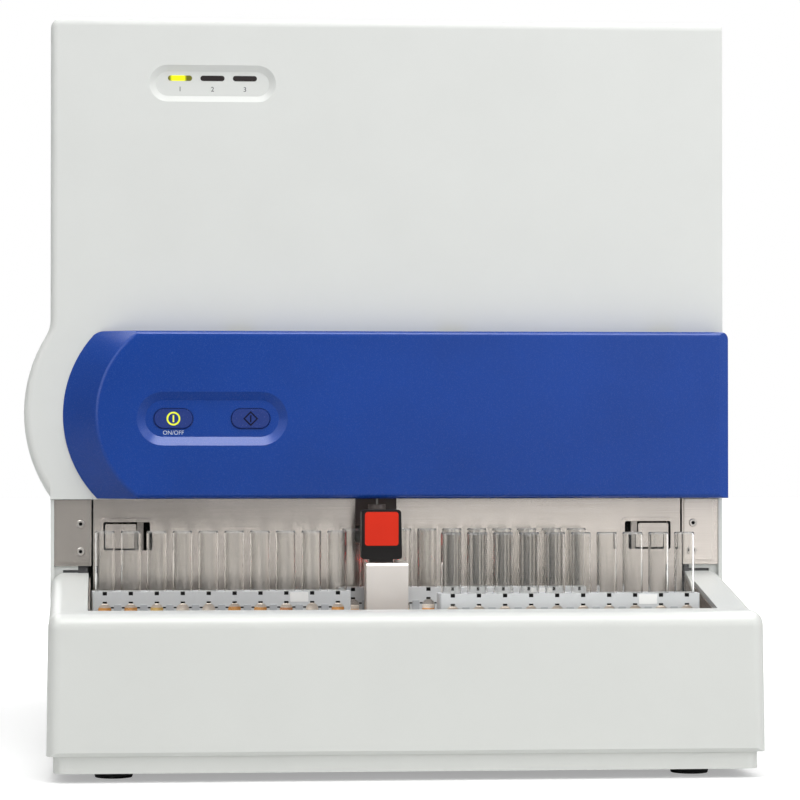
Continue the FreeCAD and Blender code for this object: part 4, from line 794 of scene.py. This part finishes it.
def rear_details():
    """Screws round the rear panel and the fan, with black painted shade in their sockets, and a
    plain number over each hose port.
    """
    low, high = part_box("rear_panel")
    left = low.x + REAR_SCREW_INSET
    right = high.x - REAR_SCREW_INSET
    bottom = low.z + REAR_SCREW_INSET
    top = high.z - REAR_SCREW_INSET
    places = set()
    for i in range(REAR_SCREWS_ACROSS):
        x = left + (right - left) * i / (REAR_SCREWS_ACROSS - 1)
        places.update({(x, bottom), (x, top)})
    for i in range(REAR_SCREWS_UP):
        z = bottom + (top - bottom) * i / (REAR_SCREWS_UP - 1)
        places.update({(left, z), (right, z)})
    fan_low, fan_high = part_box("fan_housing")
    fan = ((fan_low.x + fan_high.x) / 2, (fan_low.z + fan_high.z) / 2)
    for across in (-1, 1):
        for up in (-1, 1):
            places.add((fan[0] + across * FAN_SCREW_REACH, fan[1] + up * FAN_SCREW_REACH))
    heads = bmesh.new()
    rear_socket_shade = bmesh.new()
    radius, height = REAR_SCREW
    for place in sorted(places):
        add_frame(
            heads, circle(place, radius, SCREW_STEPS), circle(place, REAR_SOCKET, SCREW_STEPS),
            high.y - REAR_ROOT, high.y + height,
        )
        # black disc of painted shade in each socket
        outline = circle(place, REAR_SOCKET + REAR_ROOT, SCREW_STEPS)
        add_slab(rear_socket_shade, outline, high.y - REAR_ROOT, high.y + height * SOCKET_RISE)
    piece("rear_screws", heads, ["zinc"], "housing", edge=REAR_SCREW_EDGE)
    piece("rear_screw_socket_shade", rear_socket_shade, ["black_print_and_painted_shade"], "housing")
    port_low, port_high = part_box("fluid_ports")
    port_radius = (port_high.z - port_low.z) / 2
    for number in range(3):
        share = number / 2
        x = port_low.x + port_radius + (port_high.x - port_low.x - 2 * port_radius) * share
        z = port_high.z - port_radius + PORT_NUMBER_RISE
        lettering(
            f"port_number_{3 - number}", str(3 - number), (x, high.y, z), PORT_NUMBER_SIZE,
            "print_dark", "housing", facing=180,
        )


# ---- door ----
BUTTON_RAISE = 1.4 * MM
RING = (5.4 * MM, 4.1 * MM)
DIAMOND = (6.0 * MM, 4.4 * MM)
MARK_BAR = (1.2 * MM, 5.6 * MM)
BAR_CORNER = 0.3 * MM
# how far the printed marks reach into the button
MARK_ROOT = 0.05 * MM
CAPTION_DROP = 2.1 * MM
CAPTION_SIZE = 4.6 * MM


def button_marks():
    """Ring and bar on the power button, diamond and bar on the start button, and one caption."""
    for node, body in (("power_button", "power_key"), ("start_button", "start_key")):
        low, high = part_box(node)
        x = (low.x + high.x) / 2
        z = (low.z + high.z) / 2
        front = low.y - PRINT_THICKNESS
        back = low.y + MARK_ROOT
        mark = bmesh.new()
        bar = rounded((x, z), MARK_BAR, BAR_CORNER)
        if node == "power_button":
            add_frame(mark, circle((x, z), RING[0]), circle((x, z), RING[1]), front, back)
            add_slab(mark, bar, front, back)
            piece("power_mark", mark, ["mark_lit"], body)
            floor = low.y + BUTTON_RAISE
            lettering(
                "power_caption", "ON/OFF", (x, floor, low.z - CAPTION_DROP), CAPTION_SIZE,
                "mark_white", "door",
            )
        else:
            add_frame(mark, diamond(x, z, DIAMOND[0]), diamond(x, z, DIAMOND[1]), front, back)
            add_slab(mark, bar, front, back)
            piece("start_mark", mark, ["mark_dark"], body)


def diamond(x, z, reach):
    return [(x + reach, z), (x, z + reach), (x - reach, z), (x, z - reach)]


# ---- stage, lamps and camera ----
FLOOR_REACH = 9.0
FLOOR_COLOR = (0.78, 0.78, 0.78, 1)
FLOOR_ROUGHNESS = 0.8
FLOOR_SPECULAR = 0.1
# two distances from the middle, and how brightly the floor shows as background at each
FADE_REACHES = (0.45, 1.3)
FADE_LEVELS = (0.36, 0.95)


def stage():
    """White floor that brightens away from the object, where it shows as background."""
    mesh = bpy.data.meshes.new("floor")
    reach = FLOOR_REACH
    corners = [(-reach, -reach, 0), (reach, -reach, 0), (reach, reach, 0), (-reach, reach, 0)]
    mesh.from_pydata(corners, [], [(0, 1, 2, 3)])
    material = bpy.data.materials.new("floor_white")
    material.use_nodes = True
    tree = material.node_tree
    shader = tree.nodes["Principled BSDF"]
    shader.inputs["Base Color"].default_value = FLOOR_COLOR
    shader.inputs["Roughness"].default_value = FLOOR_ROUGHNESS
    shader.inputs["Specular IOR Level"].default_value = FLOOR_SPECULAR
    glow = tree.nodes.new("ShaderNodeEmission")
    both = tree.nodes.new("ShaderNodeAddShader")
    seen = either_ray(tree, "Is Camera Ray", "Is Transmission Ray")
    tree.links.new(seen, glow.inputs["Strength"])
    place = tree.nodes.new("ShaderNodeTexCoord")
    distance = tree.nodes.new("ShaderNodeVectorMath")
    distance.operation = "LENGTH"
    tree.links.new(place.outputs["Object"], distance.inputs[0])
    fade = rescaled(tree, distance.outputs["Value"], FADE_REACHES, FADE_LEVELS)
    tree.links.new(fade, glow.inputs["Color"])
    tree.links.new(shader.outputs[0], both.inputs[0])
    tree.links.new(glow.outputs[0], both.inputs[1])
    tree.links.new(both.outputs[0], tree.nodes["Material Output"].inputs["Surface"])
    mesh.materials.append(material)
    floor = bpy.data.objects.new("floor", mesh)
    bpy.context.scene.collection.objects.link(floor)


def either_ray(tree, first, second):
    """1 on rays of either kind, 0 on others."""
    path = tree.nodes.new("ShaderNodeLightPath")
    return maths(tree, "MAXIMUM", path.outputs[first], path.outputs[second])


WORLD_LIGHT = 0.40
# what glossy surfaces see of the room: heading in degrees, positive to the right of straight
# ahead, and brightness there as a share of the brightest
GLOSS_PEAK = 3.0
GLOSS_ROUND = (
    (-180, 0.14), (-62, 0.14), (-50, 1.0), (-26, 1.0), (-17, 0.04),
    (3.5, 0.03), (5.0, 0.46), (60, 0.46), (90, 0.14), (180, 0.14),
)
# rise of the line of sight over which a bright band under the ceiling starts and ends, and its
# brightness
BAND_START = (0.70, 0.84)
BAND_END = (0.92, 0.97)
BAND_LIGHT = 9.0
LAMPS = (
    # name, place, what it points at, width and height, watts, colour
    ("key", (1.6, -2.2, 1.5), (0, 0, 0.3), (1.4, 1.4), 22, (1, 1, 1)),
    ("fill", (-1.9, -2.0, 1.3), (0, 0, 0.3), (1.6, 1.6), 3, (1, 1, 1)),
    ("top", (0.2, -1.6, 4.2), (0, 0, 0.3), (3.0, 3.0), 105, (1, 1, 1)),
    ("back", (-0.8, 2.4, 1.6), (0, 0, 0.3), (1.6, 1.6), 16, (1, 1, 1)),
)
SCAN_SIZE = (12 * MM, 1 * MM)
SCAN_DROP = 16 * MM
SCAN_SET_BACK = 1.5 * MM
SCAN_WAY = Vector((0, 1, -0.15))
SCAN_WATTS = 0.0005
SCAN_RED = (1, 0.03, 0.02)


def room_gloss(tree):
    """Room seen in glossy surfaces: dim ahead, bright at the left and high up all round."""
    place = tree.nodes.new("ShaderNodeTexCoord")
    parts = tree.nodes.new("ShaderNodeSeparateXYZ")
    tree.links.new(place.outputs["Generated"], parts.inputs[0])
    forward = maths(tree, "MULTIPLY", parts.outputs["Y"], -1.0)
    angle = maths(tree, "ARCTAN2", parts.outputs["X"], forward)
    around = tree.nodes.new("ShaderNodeValToRGB")
    tree.links.new(rescaled(tree, angle, (-math.pi, math.pi), (0.0, 1.0)), around.inputs[0])
    stops = around.color_ramp.elements
    while len(stops) < len(GLOSS_ROUND):
        stops.new(0.5)
    for stop, (degrees, _) in zip(stops, GLOSS_ROUND):
        stop.position = (degrees + 180) / 360
    for stop, (_, share) in zip(stops, GLOSS_ROUND):
        stop.color = (share, share, share, 1)
    start = rescaled(tree, parts.outputs["Z"], BAND_START, (0.0, BAND_LIGHT))
    end = rescaled(tree, parts.outputs["Z"], BAND_END, (1.0, 0.0))
    walls = maths(tree, "MULTIPLY", around.outputs[0], GLOSS_PEAK)
    return maths(tree, "MAXIMUM", walls, maths(tree, "MULTIPLY", start, end))


def world():
    """White background, dimmer as a light, and the room's own look in gloss and glass."""
    room = bpy.data.worlds.new("studio")
    bpy.context.scene.world = room
    room.use_nodes = True
    tree = room.node_tree
    background = tree.nodes["Background"]
    background.inputs["Color"].default_value = (1, 1, 1, 1)
    path = tree.nodes.new("ShaderNodeLightPath")
    white = rescaled(tree, path.outputs["Is Camera Ray"], (0.0, 1.0), (WORLD_LIGHT, 1.0))
    undiffused = maths(tree, "LESS_THAN", path.outputs["Diffuse Depth"], 0.5)
    mirrored = either_ray(tree, "Is Glossy Ray", "Is Transmission Ray")
    either = tree.nodes.new("ShaderNodeMix")
    tree.links.new(maths(tree, "MULTIPLY", undiffused, mirrored), either.inputs["Factor"])
    tree.links.new(white, either.inputs["A"])
    tree.links.new(room_gloss(tree), either.inputs["B"])
    tree.links.new(either.outputs["Result"], background.inputs["Strength"])


def add_lamp(name, place, target, size, watts, color):
    light = bpy.data.lights.new(name, "AREA")
    light.shape = "RECTANGLE"
    light.size = size[0]
    light.size_y = size[1]
    light.energy = watts
    light.color = color
    lamp = bpy.data.objects.new(name, light)
    lamp.location = place
    lamp.rotation_euler = (Vector(target) - Vector(place)).to_track_quat("-Z", "Y").to_euler()
    lamp.visible_camera = False
    bpy.context.scene.collection.objects.link(lamp)


def lamps():
    for lamp in LAMPS:
        add_lamp(*lamp)
    low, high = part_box("reader_window")
    place = Vector(
        ((low.x + high.x) / 2, high.y + SCAN_SET_BACK, (low.z + high.z) / 2 - SCAN_DROP)
    )
    add_lamp("scanner", place, place + SCAN_WAY, SCAN_SIZE, SCAN_WATTS, SCAN_RED)


# metres, degrees to the right of straight ahead, degrees up, and millimetres
CAMERA_PLACE = (-0.2155, -2.4732, 0.2593)
CAMERA_YAW = 4.19
CAMERA_PITCH = 0.656
CAMERA_LENS = 131.46
CAMERA_SENSOR = 36
CAMERA_SHIFT = 0.10
CAMERA_FAR = 50


def camera():
    lens = bpy.data.cameras.new("camera")
    lens.lens = CAMERA_LENS
    lens.sensor_width = CAMERA_SENSOR
    lens.shift_x = CAMERA_SHIFT
    lens.clip_end = CAMERA_FAR
    view = bpy.data.objects.new("camera", lens)
    view.location = CAMERA_PLACE
    view.rotation_euler = (math.radians(90 + CAMERA_PITCH), 0, math.radians(-CAMERA_YAW))
    bpy.context.scene.collection.objects.link(view)
    bpy.context.scene.camera = view


paint_nodes()
tubes()
rack_details()
screw_socket_shade()
status_panel()
rear_details()
button_marks()
stage()
world()
lamps()
camera()
bpy.context.scene.view_settings.view_transform = "Standard"
bpy.context.view_layer.update()
